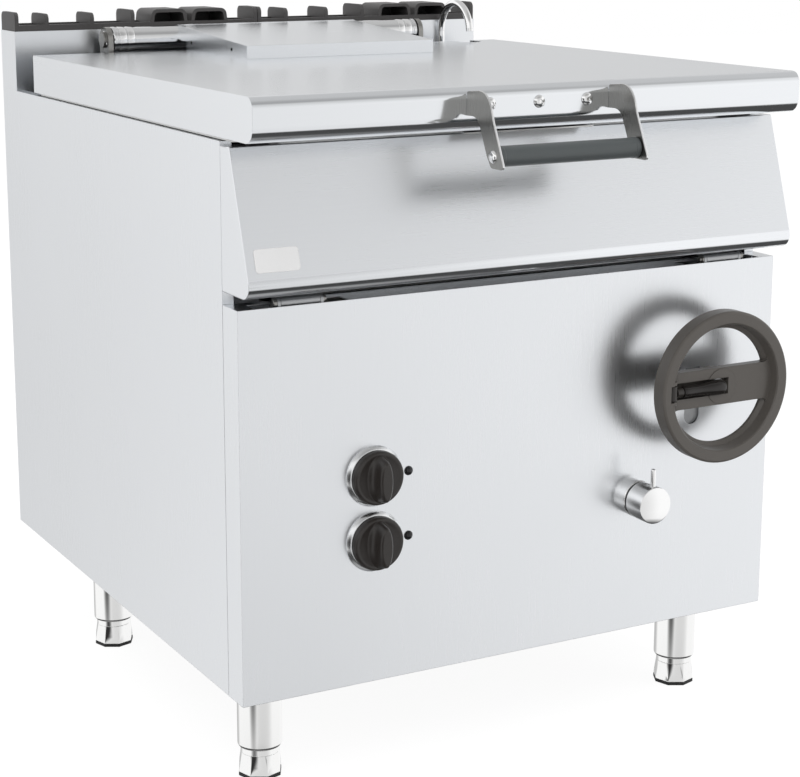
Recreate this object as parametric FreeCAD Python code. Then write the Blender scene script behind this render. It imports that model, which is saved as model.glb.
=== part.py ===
import FreeCAD, Part
import math
import os
from FreeCAD import Vector

# A tilting bratt pan: a floor-standing catering pan with a gas-heated vessel under a sprung lid.
# All lengths are millimetres. X runs left to right, Y from the front to the back, Z up.
# The origin lies on the floor, in the middle of the footprint.

os.makedirs("parts", exist_ok=True)

# Overall sizes
BODY_WIDTH = 800.0
BODY_DEPTH = 900.0
HANDLE_REACH = 83.0
CASING_BOTTOM = 140.0
PANEL_HEIGHT = 495.4
SHEET = 1.5

# Heights above the front panel
TILT_AXIS_RISE = 3.1
APRON_CLEARANCE = 13.1
APRON_HEIGHT = 174.8
SIDE_PANEL_RISE = 4.3
RIM_CLEARANCE = 0.8
RIM_THICKNESS = 2.0
LID_GAP = 0.5
LID_HEIGHT = 54.2
HINGE_RISE = 17.0
COLUMN_RISE = 88.3

# Depths measured back from the front of the lid nose
APRON_FRONT = 2.0
APRON_TOP_SETBACK = 58.0
PANEL_SETBACK = 41.0
TILT_AXIS_SETBACK = 50.0
SEAM_SETBACK = 84.0
FRONT_LEG_SETBACK = 142.0

# Depths measured forward from the rear face
COLUMN_DEPTH = 66.0
HINGE_INSET = 100.0
LID_REAR_INSET = 136.0
VESSEL_REAR_INSET = 159.0
REAR_LEG_INSET = 230.0
INLET_INSET = 90.0

HALF_WIDTH = BODY_WIDTH / 2
REAR_Y = (BODY_DEPTH + HANDLE_REACH) / 2
NOSE_Y = REAR_Y - BODY_DEPTH
PANEL_TOP = CASING_BOTTOM + PANEL_HEIGHT
TILT_Z = PANEL_TOP + TILT_AXIS_RISE
APRON_BOTTOM = TILT_Z + APRON_CLEARANCE
APRON_TOP = APRON_BOTTOM + APRON_HEIGHT
SIDE_TOP = APRON_TOP + SIDE_PANEL_RISE
RIM_BOTTOM = SIDE_TOP + RIM_CLEARANCE
RIM_TOP = RIM_BOTTOM + RIM_THICKNESS
LID_BOTTOM = RIM_TOP + LID_GAP
LID_TOP = LID_BOTTOM + LID_HEIGHT
HINGE_Z = LID_TOP + HINGE_RISE
COLUMN_TOP = SIDE_TOP + COLUMN_RISE

PANEL_Y = NOSE_Y + PANEL_SETBACK
TILT_Y = NOSE_Y + TILT_AXIS_SETBACK
SEAM_Y = NOSE_Y + SEAM_SETBACK
COLUMN_Y = REAR_Y - COLUMN_DEPTH
HINGE_Y = REAR_Y - HINGE_INSET
LID_REAR_Y = REAR_Y - LID_REAR_INSET
VESSEL_REAR_Y = REAR_Y - VESSEL_REAR_INSET
INLET_Y = REAR_Y - INLET_INSET

# Casing and frame
PANEL_FLANGE = 15.0
PANEL_JOINT_GAP = 0.8
POCKET_OUTER_INSET = 24.0
POCKET_INNER_INSET = 148.0
SLOT_WIDTH = 25.0
SLOT_BELOW_SHAFT = 66.0
SLOT_ABOVE_SHAFT = 13.0
FRAME_TUBE = 40.0
FRAME_WALL = 3.0
FRAME_SIDE_GAP = 9.0
POST_OUTER_INSET = 46.0
POST_WIDTH = 71.0
POST_DEPTH = 31.5
POST_TOP_BELOW_AXIS = 18.5

POCKET_OUTER_X = HALF_WIDTH - POCKET_OUTER_INSET
POCKET_INNER_X = HALF_WIDTH - POCKET_INNER_INSET
POST_OUTER_X = HALF_WIDTH - POST_OUTER_INSET
POST_INNER_X = POST_OUTER_X - POST_WIDTH
FRAME_BOTTOM = CASING_BOTTOM + SHEET
FRAME_TOP = FRAME_BOTTOM + FRAME_TUBE
FRAME_OUTER_X = HALF_WIDTH - PANEL_FLANGE - FRAME_SIDE_GAP
FRAME_FRONT_Y = SEAM_Y + FRAME_SIDE_GAP
FRONT_LEG_Y = NOSE_Y + FRONT_LEG_SETBACK
REAR_LEG_Y = REAR_Y - REAR_LEG_INSET

# Legs
LEG_INSET = 68.3
LEG_RADIUS = 29.0
LEG_WALL = 2.0
LEG_BOTTOM = 40.0
LEG_COLLAR = 8.0
LEG_EDGE = 3.0
LEG_PLATE = 96.0
LEG_PLATE_THICKNESS = 4.0
LEG_PLATE_CORNER = 8.0
FOOT_RADIUS = 25.0
FOOT_OCTAGON = 53.0
FOOT_FLARE = 27.0
FOOT_FLARE_RADIUS = 28.9
FOOT_HEAD = 6.0
PAD_THICKNESS = 5.0
PAD_OCTAGON = 54.0
FOOT_STOP_GAP = 0.3
FOOT_TRAVEL = 35.0
STEM_RADIUS = 8.0
LEG_X = HALF_WIDTH - LEG_INSET

# Tilt hinge
PIN_RADIUS = 4.0
PIN_HEAD = 5.0
PIN_TAIL = 5.0
PIN_CLIP = 2.0
RUNNING_CLEARANCE = 0.05
BARREL_RADIUS = 6.5
BARREL_LENGTH = 52.0
BARREL_IN_POST = 12.5
LUG_THICKNESS = 4.0
LUG_GAP = 0.5
LEAF_THICKNESS = 5.0
LEAF_ARM_RISE = 1.5
LEAF_ARM_MARGIN = 5.0
LEAF_PLATE_MARGIN = 15.0
LEAF_PLATE_HEIGHT = 40.0
BARREL_OUTER_X = POST_OUTER_X - BARREL_IN_POST
BARREL_INNER_X = BARREL_OUTER_X - BARREL_LENGTH

# Vessel
VESSEL_SIDE_INSET = 65.0
VESSEL_WALL = 3.0
VESSEL_DEPTH = 191.5
VESSEL_FRONT_BOTTOM = 105.0
VESSEL_FRONT_TOP = 78.0
VESSEL_CORNER = 25.0
BASE_PLATE = 10.0
RIM_SIDE_INSET = 6.0
RIM_FRONT_SETBACK = 60.0
LIP_HALF_WIDTH = 95.0
LIP_SETBACK = 36.0
LIP_DROP = 4.0
JACKET_SIDE_GAP = 17.0
JACKET_FRONT_GAP = 7.0
JACKET_TOP_GAP = 8.0
BEAM_SIDE_INSET = 110.0
BEAM_DEPTH = 44.0
BEAM_HEIGHT = 128.0
BEAM_WALL = 3.0

VESSEL_HALF_WIDTH = HALF_WIDTH - VESSEL_SIDE_INSET
RIM_HALF_WIDTH = HALF_WIDTH - RIM_SIDE_INSET
JACKET_HALF_WIDTH = VESSEL_HALF_WIDTH + JACKET_SIDE_GAP
BEAM_HALF_LENGTH = HALF_WIDTH - BEAM_SIDE_INSET
VESSEL_BOTTOM = RIM_TOP - VESSEL_DEPTH
VESSEL_FRONT_Y = NOSE_Y + VESSEL_FRONT_BOTTOM
VESSEL_FRONT_TOP_Y = NOSE_Y + VESSEL_FRONT_TOP
JACKET_FRONT_Y = VESSEL_FRONT_Y - VESSEL_WALL - JACKET_FRONT_GAP

# Apron, the front of the tilting part
APRON_WALL = 2.0
APRON_NOSE_RADIUS = 18.0
APRON_FLANGE = 22.0
RAIL_END_INSET = 73.0
RAIL_HEIGHT = 14.0
RAIL_GAP = 4.0
PLATE_INSET = 40.5
PLATE_RISE = 45.4
PLATE_LENGTH = 58.0
PLATE_HEIGHT = 28.5
PLATE_THICKNESS = 0.8
PLATE_CORNER = 4.0
APRON_CORNER_Y = NOSE_Y + APRON_FRONT
RAIL_HALF_LENGTH = VESSEL_HALF_WIDTH - RAIL_END_INSET
RAIL_FRONT_Y = VESSEL_FRONT_TOP_Y - VESSEL_WALL - RAIL_GAP
PLATE_X = PLATE_INSET - HALF_WIDTH
PLATE_MIDDLE_Z = APRON_BOTTOM + PLATE_RISE

# Lid
LID_SIDE_INSET = 3.5
LID_SHEET = 2.0
NOSE_TOP_RADIUS = 14.0
NOSE_BOTTOM_RADIUS = 11.0
NOSE_UNDERSIDE = 20.0
LINER_SIDE_INSET = 38.0
LINER_HEIGHT = 36.0
LINER_GAP = 8.0
SPOUT_INSET = 67.0
NOTCH_RADIUS = 18.0
NOTCH_INSET = 31.0
COVER_HALF_WIDTH = 153.0
COVER_FRONT_TO_REAR = 221.0
COVER_FRONT_HEIGHT = 19.0
COVER_SLOPE_END = 70.0
TUBE_RADIUS = 18.0
TUBE_WALL = 3.0
TUBE_END_INSET = 144.0
CAP_RADIUS = 19.0
CAP_LENGTH = 6.0
CAP_SPIGOT = 12.0
JOURNAL_RADIUS = 8.0
JOURNAL_HEAD_RADIUS = 12.0
JOURNAL_HEAD = 4.0
BRACKET_THICKNESS = 8.0
BRACKET_GAP = 2.0
BRACKET_EYE = 19.0
BRACKET_DROP = 60.0

LID_HALF_WIDTH = HALF_WIDTH - LID_SIDE_INSET
LINER_HALF_WIDTH = HALF_WIDTH - LINER_SIDE_INSET
SPOUT_X = HALF_WIDTH - SPOUT_INSET
TUBE_HALF_LENGTH = HALF_WIDTH - TUBE_END_INSET
BRACKET_X = TUBE_HALF_LENGTH + CAP_LENGTH + BRACKET_GAP

# Lid handle
HANDLE_X = -9.5
HANDLE_HALF_WIDTH = 104.5
ARM_THICKNESS = 3.0
ARM_BEND = 9.0
GRIP_RADIUS = 13.0
GRIP_EDGE = 1.5
GRIP_FORWARD = 61.0
GRIP_DROP = 77.0
SCREW_RADIUS = 4.0
SCREW_HEAD_RADIUS = 8.0
SCREW_HEAD = 3.5
SCREW_HEAD_EDGE = 2.5
STUD_MIDDLE_X = -11.0
STUD_SPACING = 70.0
STUD_RADIUS = 8.0
STUD_HEIGHT = 4.5
STUD_EDGE = 3.5
STUD_SHANK = 10.0
STUD_RISE = 33.0
GRIP_Y = NOSE_Y - GRIP_FORWARD
GRIP_Z = LID_TOP - GRIP_DROP
STUD_Z = LID_BOTTOM + STUD_RISE

# Handwheel
WHEEL_INSET = 130.0
WHEEL_DROP = 154.4
WHEEL_RADIUS = 102.0
WHEEL_STANDOFF = 48.0
RIM_DEPTH = 25.0
RIM_WIDTH = 17.0
SPOKE_HEIGHT = 50.0
SPOKE_THICKNESS = 12.0
SPOKE_SETBACK = 12.0
SPOKE_FILLET = 8.0
HUB_RADIUS = 21.0
HUB_LENGTH = 18.0
HUB_FACE_RADIUS = 23.5
HUB_FACE = 1.0
SHAFT_RADIUS = 10.0
CRANK_RADIUS = 82.0
CRANK_SLOT = 22.0
CRANK_RECESS = 8.0
CRANK_EYE_RADIUS = 6.5
CRANK_PIN_RADIUS = 2.5
CRANK_EAR = 5.0
CRANK_SPINDLE = 3.5
CRANK_NECK = 16.0
CRANK_GRIP_GAP = 0.5
CRANK_STANDOFF = 3.0

WHEEL_X = HALF_WIDTH - WHEEL_INSET
WHEEL_Z = PANEL_TOP - WHEEL_DROP
WHEEL_BACK_Y = PANEL_Y - WHEEL_STANDOFF
WHEEL_FRONT_Y = WHEEL_BACK_Y - RIM_DEPTH
SPOKE_FRONT_Y = WHEEL_FRONT_Y + SPOKE_SETBACK
PIVOT_X = WHEEL_X - CRANK_RADIUS
PIVOT_Y = SPOKE_FRONT_Y - CRANK_STANDOFF

# Tilt drive
GEAR_MODULE = 4.0
SECTOR_TEETH = 60
IDLER_TEETH = 42
PINION_TEETH = 14
GEAR_BACKLASH = 0.5
GEAR_WIDTH = 10.0
GEAR_INSET = 29.0
IDLER_ANGLE = 2.0
PRESSURE_ANGLE = math.radians(20)
SECTOR_LOW = -90.0
SECTOR_HIGH = 14.0
SECTOR_BAND = 22.0
SECTOR_BOSS_RADIUS = 9.0
SECTOR_WEB_HEIGHT = 78.0
SECTOR_FIX_SETBACK = 45.0
IDLER_AXLE_RADIUS = 10.0
IDLER_HUB_RADIUS = 20.0
IDLER_HUB_REACH = 5.0
IDLER_HOLE_RADIUS = 15.0
IDLER_HOLE_CIRCLE = 48.0
IDLER_HOLES = 6
CARRIER_GAP = 6.0
CARRIER_THICKNESS = 5.0
CARRIER_FOOT_HALF = 70.0
CARRIER_WAIST_HALF = 34.0
CARRIER_HEAD_HALF = 24.0
CARRIER_STRIP = 18.0
CARRIER_WINDOW_GAP = 60.0
CROSS_SHAFT_RADIUS = 9.0
PINION_HUB_RADIUS = 16.0
PINION_HUB_LENGTH = 12.0
GEARBOX_LEFT = 30.0
GEARBOX_RIGHT = 32.0
GEARBOX_HALF_DEPTH = 42.0
GEARBOX_BELOW_WHEEL = 26.0
GEARBOX_ABOVE_SHAFT = 24.0
GEARBOX_CORNER = 10.0
GEARBOX_DRUM_RADIUS = 22.0
GEARBOX_DRUM_REACH = 6.0
GEARBOX_SNOUT_RADIUS = 20.0
GEARBOX_SNOUT = 14.0
PEDESTAL_SPREAD = 20.0
PEDESTAL_INSET = 8.0
PEDESTAL_LEG = 16.0
SHAFT_ENGAGEMENT = 18.0
CROSS_ENGAGEMENT = 30.0
BEARING_PLATE_GAP = 2.0
BEARING_PLATE = 3.0
BEARING_BOSS_RADIUS = 12.0
BEARING_BOSS = 12.0
BEARING_MARGIN = 16.0

SECTOR_RADIUS = GEAR_MODULE * SECTOR_TEETH / 2
IDLER_RADIUS = GEAR_MODULE * IDLER_TEETH / 2
PINION_RADIUS = GEAR_MODULE * PINION_TEETH / 2
MESH_ANGLE = math.radians(IDLER_ANGLE)
SECTOR_PITCH = 2 * math.pi / SECTOR_TEETH
IDLER_Y = TILT_Y + (SECTOR_RADIUS + IDLER_RADIUS) * math.cos(MESH_ANGLE)
IDLER_Z = TILT_Z + (SECTOR_RADIUS + IDLER_RADIUS) * math.sin(MESH_ANGLE)
PINION_Y = IDLER_Y
PINION_Z = IDLER_Z - IDLER_RADIUS - PINION_RADIUS
GEAR_X = HALF_WIDTH - GEAR_INSET
GEAR_X0 = GEAR_X - GEAR_WIDTH / 2
GEAR_X1 = GEAR_X + GEAR_WIDTH / 2
CARRIER_X0 = GEAR_X1 + CARRIER_GAP
CARRIER_X1 = CARRIER_X0 + CARRIER_THICKNESS
GEARBOX_X0 = WHEEL_X - GEARBOX_LEFT
GEARBOX_X1 = WHEEL_X + GEARBOX_RIGHT

# Controls
KNOB_INSET = 182.0
KNOB_DROP = 225.4
KNOB_PITCH = 84.5
BEZEL_RADIUS = 39.0
BEZEL_HEIGHT = 5.5
BEZEL_EDGE = 1.5
BEZEL_SLOPE = 4.0
KNOB_RADIUS = 34.5
KNOB_BEZEL_GAP = 1.0
KNOB_SKIRT = 11.0
KNOB_HEIGHT = 30.0
KNOB_HOLLOW_RADIUS = 33.0
KNOB_HOLLOW_OFFSET = 40.0
KNOB_SOCKET = 16.0
KNOB_STEM_RADIUS = 4.0
STEM_HOLE = 9.0
LAMP_OFFSET = 49.0
LAMP_STEM = 4.0
LAMP_RADIUS = 6.0
LAMP_HEIGHT = 4.0
CONTROL_WIDTH = 48.0
CONTROL_LENGTH = 60.0
CONTROL_FLANGE = 3.0
CONTROL_CORNER = 5.0
TAP_INSET = 222.0
TAP_DROP = 309.4
TAP_RADIUS = 25.0
TAP_LENGTH = 49.0
TAP_BASE = 13.0
TAP_CAP_GAP = 0.8
TAP_NECK = 12.0
TAP_STEM = 5.0
TAP_VALVE_RADIUS = 16.0
TAP_VALVE_END = 60.0
TAP_STUB_RADIUS = 11.0
TAP_STUB_SETBACK = 45.0
TAP_STUB_REACH = 30.0
LEVER_RADIUS = 3.5
LEVER_LENGTH = 24.0
LEVER_SETBACK = 7.0

KNOB_X = KNOB_INSET - HALF_WIDTH
KNOB_UPPER_Z = PANEL_TOP - KNOB_DROP
KNOB_LOWER_Z = KNOB_UPPER_Z - KNOB_PITCH
KNOB_BACK_Y = PANEL_Y - BEZEL_HEIGHT - KNOB_BEZEL_GAP
TAP_X = HALF_WIDTH - TAP_INSET
TAP_Z = PANEL_TOP - TAP_DROP

# Heating
CHAMBER_SIDE_GAP = 9.0
CHAMBER_HEIGHT = 65.0
CHAMBER_GAP = 4.0
CHAMBER_FRONT_GAP = 5.0
CHAMBER_REAR_GAP = 6.0
CHAMBER_WALL = 2.0
STAND_INSET = 30.0
STAND_WIDTH = 20.0
STAND_FOOT = 25.0
STAND_SHEET = 4.0
BURNER_RADIUS = 18.0
BURNER_WALL = 1.5
BURNER_END_GAP = 101.0
BURNER_RISE = 32.0
BURNER_COUNT = 4
BURNER_SLOTS = 9
MANIFOLD_RADIUS = 10.0
MANIFOLD_SETBACK = 32.0
INJECTOR_RADIUS = 5.0
INJECTOR_LENGTH = 15.0
SLEEVE_INSET = 86.0
SLEEVE_RISE = 12.0
SLEEVE_HEIGHT = 40.0
SLEEVE_WALL = 2.0

CHAMBER_HALF_WIDTH = VESSEL_HALF_WIDTH - CHAMBER_SIDE_GAP
CHAMBER_TOP = VESSEL_BOTTOM - VESSEL_WALL - BASE_PLATE - CHAMBER_GAP
CHAMBER_FLOOR = CHAMBER_TOP - CHAMBER_HEIGHT
CHAMBER_FRONT_Y = VESSEL_FRONT_Y + CHAMBER_FRONT_GAP
CHAMBER_REAR_Y = VESSEL_REAR_Y - CHAMBER_REAR_GAP
BURNER_Z = CHAMBER_FLOOR + BURNER_RISE
BURNER_PITCH = 2 * (CHAMBER_HALF_WIDTH - BURNER_END_GAP) / (BURNER_COUNT - 1)
MANIFOLD_Y = CHAMBER_FRONT_Y - MANIFOLD_SETBACK
FLUE_HALF_WIDTH = CHAMBER_HALF_WIDTH - SLEEVE_INSET
FLUE_SLEEVE_BOTTOM = CHAMBER_FLOOR + SLEEVE_RISE
FLUE_SLEEVE_TOP = FLUE_SLEEVE_BOTTOM + SLEEVE_HEIGHT
FLUE_BOTTOM = CHAMBER_FLOOR

# Flue grid: places are shares of the half width, counted from the middle
GRID_HEIGHT = 28.0
GRID_BASE = 9.0
GRID_MARGIN = 1.0
GRID_SPLIT = 0.5
GRID_END_BAR = 12.0
GRID_SIDE_BAR = 9.0
FIN_THICKNESS = 6.0
FIN_CORNER = 9.0
FIN_STEP = 3.0
FIN_PLACES = (0.88, 0.70, 0.535)
HOOD_PLACES = (0.4575, 0.2875)
HOOD_WIDTH = 0.16
HOOD_WALL = 5.0
HOOD_LEAN = 4.0
HOOD_CORNER = 10.0

# Pipes
PIPE_RADIUS = 8.0
FEED_RADIUS = 5.0
PIPE_BEND = 24.0
FEED_BEND = 10.0
RISER_BEND = 20.0
GAS_INLET_INSET = 250.0
WATER_INLET_INSET = 150.0
INLET_RISE = 90.0
INLET_DROP = 30.0
THREAD_LENGTH = 22.0
THREAD_RADIUS = 10.5
SPOUT_RADIUS = 6.0
SPOUT_BORE = 4.8
SPOUT_GAP = 0.5
SPOUT_BEND = 46.0
SPOUT_SWEEP = 172.0
SPOUT_OUTLET = 4.0
SPOUT_BELOW_HINGE = 3.0
DECK_DROP = 91.5
DECK_GAP = 14.0
DECK_LIP = 18.0
DECK_SOCKET = 20.0

GAS_INLET_X = GAS_INLET_INSET - HALF_WIDTH
WATER_INLET_X = HALF_WIDTH - WATER_INLET_INSET
INLET_Z = CASING_BOTTOM + INLET_RISE
INLET_BOTTOM = CASING_BOTTOM - INLET_DROP
SPOUT_Y = COLUMN_Y - SPOUT_RADIUS - SPOUT_GAP
SPOUT_TOP_Z = HINGE_Z - SPOUT_BELOW_HINGE
DECK_Z = RIM_BOTTOM - DECK_DROP


def box(x0, x1, y0, y1, z0, z1):
    """A block between two corners."""
    return Part.makeBox(x1 - x0, y1 - y0, z1 - z0, Vector(x0, y0, z0))


def rod(start, end, radius):
    """A round bar from one point to another."""
    axis = Vector(*end) - Vector(*start)
    return Part.makeCylinder(radius, axis.Length, Vector(*start), axis)


def ring(start, end, outer, inner):
    """A round tube from one point to another."""
    return rod(start, end, outer).cut(rod(start, end, inner))


def plate_yz(points, x0, x1):
    """A plate with an outline in the YZ plane, from x0 to x1."""
    outline = [Vector(x0, y, z) for y, z in points]
    face = Part.Face(Part.makePolygon(outline + outline[:1]))
    return face.extrude(Vector(x1 - x0, 0, 0))


def plate_xz(points, y0, y1):
    """A plate with an outline in the XZ plane, from y0 to y1."""
    outline = [Vector(x, y0, z) for x, z in points]
    face = Part.Face(Part.makePolygon(outline + outline[:1]))
    return face.extrude(Vector(0, y1 - y0, 0))


def round_edges(shape, radius, keep):
    """Round each edge whose middle point the test accepts."""
    edges = [edge for edge in shape.Edges if keep(edge, edge.CenterOfMass)]
    return shape.makeFillet(radius, edges)


def along(edge, axis):
    """Whether a straight edge runs along one axis, given as 0, 1 or 2."""
    if edge.Curve.TypeId != "Part::GeomLine":
        return False
    direction = edge.Curve.Direction
    return abs(abs(direction[axis]) - 1) < 1e-6


def mirrored(shape):
    """The same piece on the other side of the middle plane."""
    return shape.mirror(Vector(0, 0, 0), Vector(1, 0, 0))


def both_sides(shape):
    """One piece on each side, as separate solids."""
    return Part.makeCompound([shape, mirrored(shape)])


def save(name, shape):
    """Write one named piece."""
    shape.exportStep(os.path.join("parts", name + ".step"))


def turned(profile, centre, axis):
    """A solid of revolution about an axis through a point."""
    face = Part.Face(Part.makePolygon(profile + profile[:1]))
    return face.revolve(Vector(*centre), axis, 360)


def turned_y(points, x, z):
    """A solid turned about a line along Y; each point is radius and Y."""
    profile = [Vector(x + radius, y, z) for radius, y in points]
    return turned(profile, (x, 0, z), Vector(0, 1, 0))


def turned_z(points, x, y):
    """A solid turned about a line along Z; each point is radius and Z."""
    profile = [Vector(x + radius, y, z) for radius, z in points]
    return turned(profile, (x, y, 0), Vector(0, 0, 1))


# Casing and frame
def side_panel():
    """The left side sheet, folded inward along its four edges."""
    y0 = SEAM_Y
    inside = HALF_WIDTH - PANEL_FLANGE
    tray = box(-HALF_WIDTH, -inside, y0, REAR_Y, CASING_BOTTOM, SIDE_TOP)
    hollow = box(-HALF_WIDTH + SHEET, -inside, y0 + SHEET, REAR_Y - SHEET,
                 CASING_BOTTOM + SHEET, SIDE_TOP - SHEET)
    return tray.cut(hollow)


def front_panel():
    """The service panel with its ledge, hinge pockets, shaft slot and control holes."""
    back = SEAM_Y - PANEL_JOINT_GAP
    skin = box(-HALF_WIDTH, HALF_WIDTH, PANEL_Y, back, CASING_BOTTOM, PANEL_TOP)
    hollow = box(-HALF_WIDTH + SHEET, HALF_WIDTH - SHEET, PANEL_Y + SHEET, back,
                 CASING_BOTTOM + SHEET, PANEL_TOP - SHEET)
    panel = skin.cut(hollow)
    pocket = box(POCKET_INNER_X, POCKET_OUTER_X, PANEL_Y + SHEET, back - PANEL_FLANGE,
                 PANEL_TOP - 2 * SHEET, PANEL_TOP + SHEET)
    panel = panel.cut(both_sides(pocket))
    half = SLOT_WIDTH / 2
    low = WHEEL_Z - SLOT_BELOW_SHAFT + half
    high = WHEEL_Z + SLOT_ABOVE_SHAFT
    slot = box(WHEEL_X - half, WHEEL_X + half, PANEL_Y - 1, PANEL_Y + 2 * SHEET, low, high)
    slot = slot.fuse(rod((WHEEL_X, PANEL_Y - 1, low), (WHEEL_X, PANEL_Y + 2 * SHEET, low), half))
    panel = panel.cut(slot)
    for z in (KNOB_UPPER_Z, KNOB_LOWER_Z):
        panel = panel.cut(rod((KNOB_X, PANEL_Y - 1, z), (KNOB_X, PANEL_Y + 2 * SHEET, z), STEM_HOLE))
        lamp = KNOB_X + LAMP_OFFSET
        panel = panel.cut(rod((lamp, PANEL_Y - 1, z), (lamp, PANEL_Y + 2 * SHEET, z), LAMP_STEM))
    tap_hole = rod((TAP_X, PANEL_Y - 1, TAP_Z), (TAP_X, PANEL_Y + 2 * SHEET, TAP_Z), TAP_NECK)
    return panel.cut(tap_hole)


def square_tube(x0, x1, y0, y1, z0, z1, axis):
    """A square tube along X or Y, open at its ends."""
    outer = box(x0, x1, y0, y1, z0, z1)
    if axis == "x":
        inner = box(x0 - 1, x1 + 1, y0 + FRAME_WALL, y1 - FRAME_WALL, z0 + FRAME_WALL, z1 - FRAME_WALL)
    else:
        inner = box(x0 + FRAME_WALL, x1 - FRAME_WALL, y0 - 1, y1 + 1, z0 + FRAME_WALL, z1 - FRAME_WALL)
    return outer.cut(inner)


def base_frame():
    """The welded frame of square tubes that the legs and posts are bolted to."""
    rail = square_tube(FRAME_OUTER_X - FRAME_TUBE, FRAME_OUTER_X, FRAME_FRONT_Y, REAR_Y - FRAME_SIDE_GAP,
                       FRAME_BOTTOM, FRAME_TOP, "y")
    inner_x = FRAME_OUTER_X - FRAME_TUBE
    frame = rail.fuse(mirrored(rail))
    rear_edge = REAR_Y - FRAME_SIDE_GAP
    for y0 in (FRAME_FRONT_Y, REAR_LEG_Y - FRAME_TUBE / 2, rear_edge - FRAME_TUBE):
        cross = square_tube(-inner_x, inner_x, y0, y0 + FRAME_TUBE, FRAME_BOTTOM, FRAME_TOP, "x")
        frame = frame.fuse(cross)
    return frame


def hinge_post():
    """The left post that carries the tilt hinge: a folded channel with two eyed lugs."""
    y0 = PANEL_Y + SHEET
    y1 = y0 + POST_DEPTH
    top = TILT_Z - POST_TOP_BELOW_AXIS
    channel = box(-POST_OUTER_X, -POST_INNER_X, y0, y1, FRAME_BOTTOM, top)
    hollow = box(-POST_OUTER_X + FRAME_WALL, -POST_INNER_X - FRAME_WALL, y0 + FRAME_WALL, y1 + 1,
                 FRAME_BOTTOM + FRAME_WALL, top - FRAME_WALL)
    post = channel.cut(hollow)
    foot = box(-POST_OUTER_X, -POST_INNER_X, y1, FRAME_FRONT_Y, FRAME_BOTTOM, FRAME_TOP)
    post = post.fuse(foot)
    for x0 in (-BARREL_OUTER_X - LUG_GAP - LUG_THICKNESS, -BARREL_INNER_X + LUG_GAP):
        lug = rod((x0, TILT_Y, TILT_Z), (x0 + LUG_THICKNESS, TILT_Y, TILT_Z), BARREL_RADIUS)
        web = box(x0, x0 + LUG_THICKNESS, TILT_Y - BARREL_RADIUS, TILT_Y + BARREL_RADIUS, top, TILT_Z)
        post = post.fuse(lug.fuse(web))
    bore = rod((-POST_OUTER_X - 5, TILT_Y, TILT_Z), (-POST_INNER_X + 5, TILT_Y, TILT_Z), PIN_RADIUS)
    return post.cut(bore).removeSplitter()


def tilt_pin():
    """The left tilt pin: a shouldered bolt with a round head outside and a clip inside."""
    head_x = -BARREL_OUTER_X - LUG_GAP - LUG_THICKNESS
    tail_x = -BARREL_INNER_X + LUG_GAP + LUG_THICKNESS
    shank = rod((head_x, TILT_Y, TILT_Z), (tail_x + PIN_TAIL, TILT_Y, TILT_Z), PIN_RADIUS)
    head = rod((head_x - PIN_HEAD, TILT_Y, TILT_Z), (head_x, TILT_Y, TILT_Z), BARREL_RADIUS - LUG_GAP)
    head = round_edges(head, PIN_HEAD / 3, lambda e, c: c.x < head_x - PIN_HEAD / 2)
    clip = ring((tail_x, TILT_Y, TILT_Z), (tail_x + PIN_CLIP, TILT_Y, TILT_Z), BARREL_RADIUS - LUG_GAP, PIN_RADIUS)
    return shank.fuse(head).fuse(clip)


def hinge_leaf():
    """The left leaf that joins the pan to its tilt pin: a barrel, an arm and a riveted plate."""
    barrel = rod((-BARREL_OUTER_X, TILT_Y, TILT_Z), (-BARREL_INNER_X, TILT_Y, TILT_Z), BARREL_RADIUS)
    x0 = -BARREL_OUTER_X + LEAF_ARM_MARGIN
    x1 = -BARREL_INNER_X - LEAF_ARM_MARGIN
    arm_bottom = TILT_Z + LEAF_ARM_RISE
    arm = box(x0, x1, TILT_Y, JACKET_FRONT_Y, arm_bottom, arm_bottom + LEAF_THICKNESS)
    plate = box(x0 - LEAF_PLATE_MARGIN, x1 + LEAF_PLATE_MARGIN, JACKET_FRONT_Y - LEAF_THICKNESS, JACKET_FRONT_Y,
                arm_bottom, arm_bottom + LEAF_PLATE_HEIGHT)
    leaf = barrel.fuse(arm).fuse(plate)
    bore_radius = PIN_RADIUS + RUNNING_CLEARANCE
    bore = rod((-BARREL_OUTER_X - 1, TILT_Y, TILT_Z), (-BARREL_INNER_X + 1, TILT_Y, TILT_Z), bore_radius)
    return leaf.cut(bore).removeSplitter()


# Flue column, rear sheets and grid


def flue_column():
    """The rear flue duct, open at the top, with a window for the flue sleeve low in its front."""
    above = box(-HALF_WIDTH, HALF_WIDTH, COLUMN_Y, REAR_Y, SIDE_TOP, COLUMN_TOP)
    inner_half = HALF_WIDTH - PANEL_FLANGE
    below = box(-inner_half, inner_half, COLUMN_Y, REAR_Y - SHEET, FLUE_BOTTOM, SIDE_TOP)
    hollow_top = box(-HALF_WIDTH + SHEET, HALF_WIDTH - SHEET, COLUMN_Y + SHEET, REAR_Y - SHEET,
                     SIDE_TOP + SHEET, COLUMN_TOP - SHEET)
    hollow_low = box(-inner_half + SHEET, inner_half - SHEET, COLUMN_Y + SHEET, REAR_Y - 2 * SHEET,
                     FLUE_BOTTOM + SHEET, SIDE_TOP + 2 * SHEET)
    throat = box(-HALF_WIDTH + 12, HALF_WIDTH - 12, COLUMN_Y + 8, REAR_Y - 8, COLUMN_TOP - 3, COLUMN_TOP + 1)
    window = box(-FLUE_HALF_WIDTH, FLUE_HALF_WIDTH, COLUMN_Y - 1, COLUMN_Y + 2 * SHEET,
                 FLUE_SLEEVE_BOTTOM, FLUE_SLEEVE_TOP)
    column = above.fuse(below)
    for cut in (hollow_top, hollow_low, throat, window):
        column = column.cut(cut)
    return column.removeSplitter()


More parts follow.
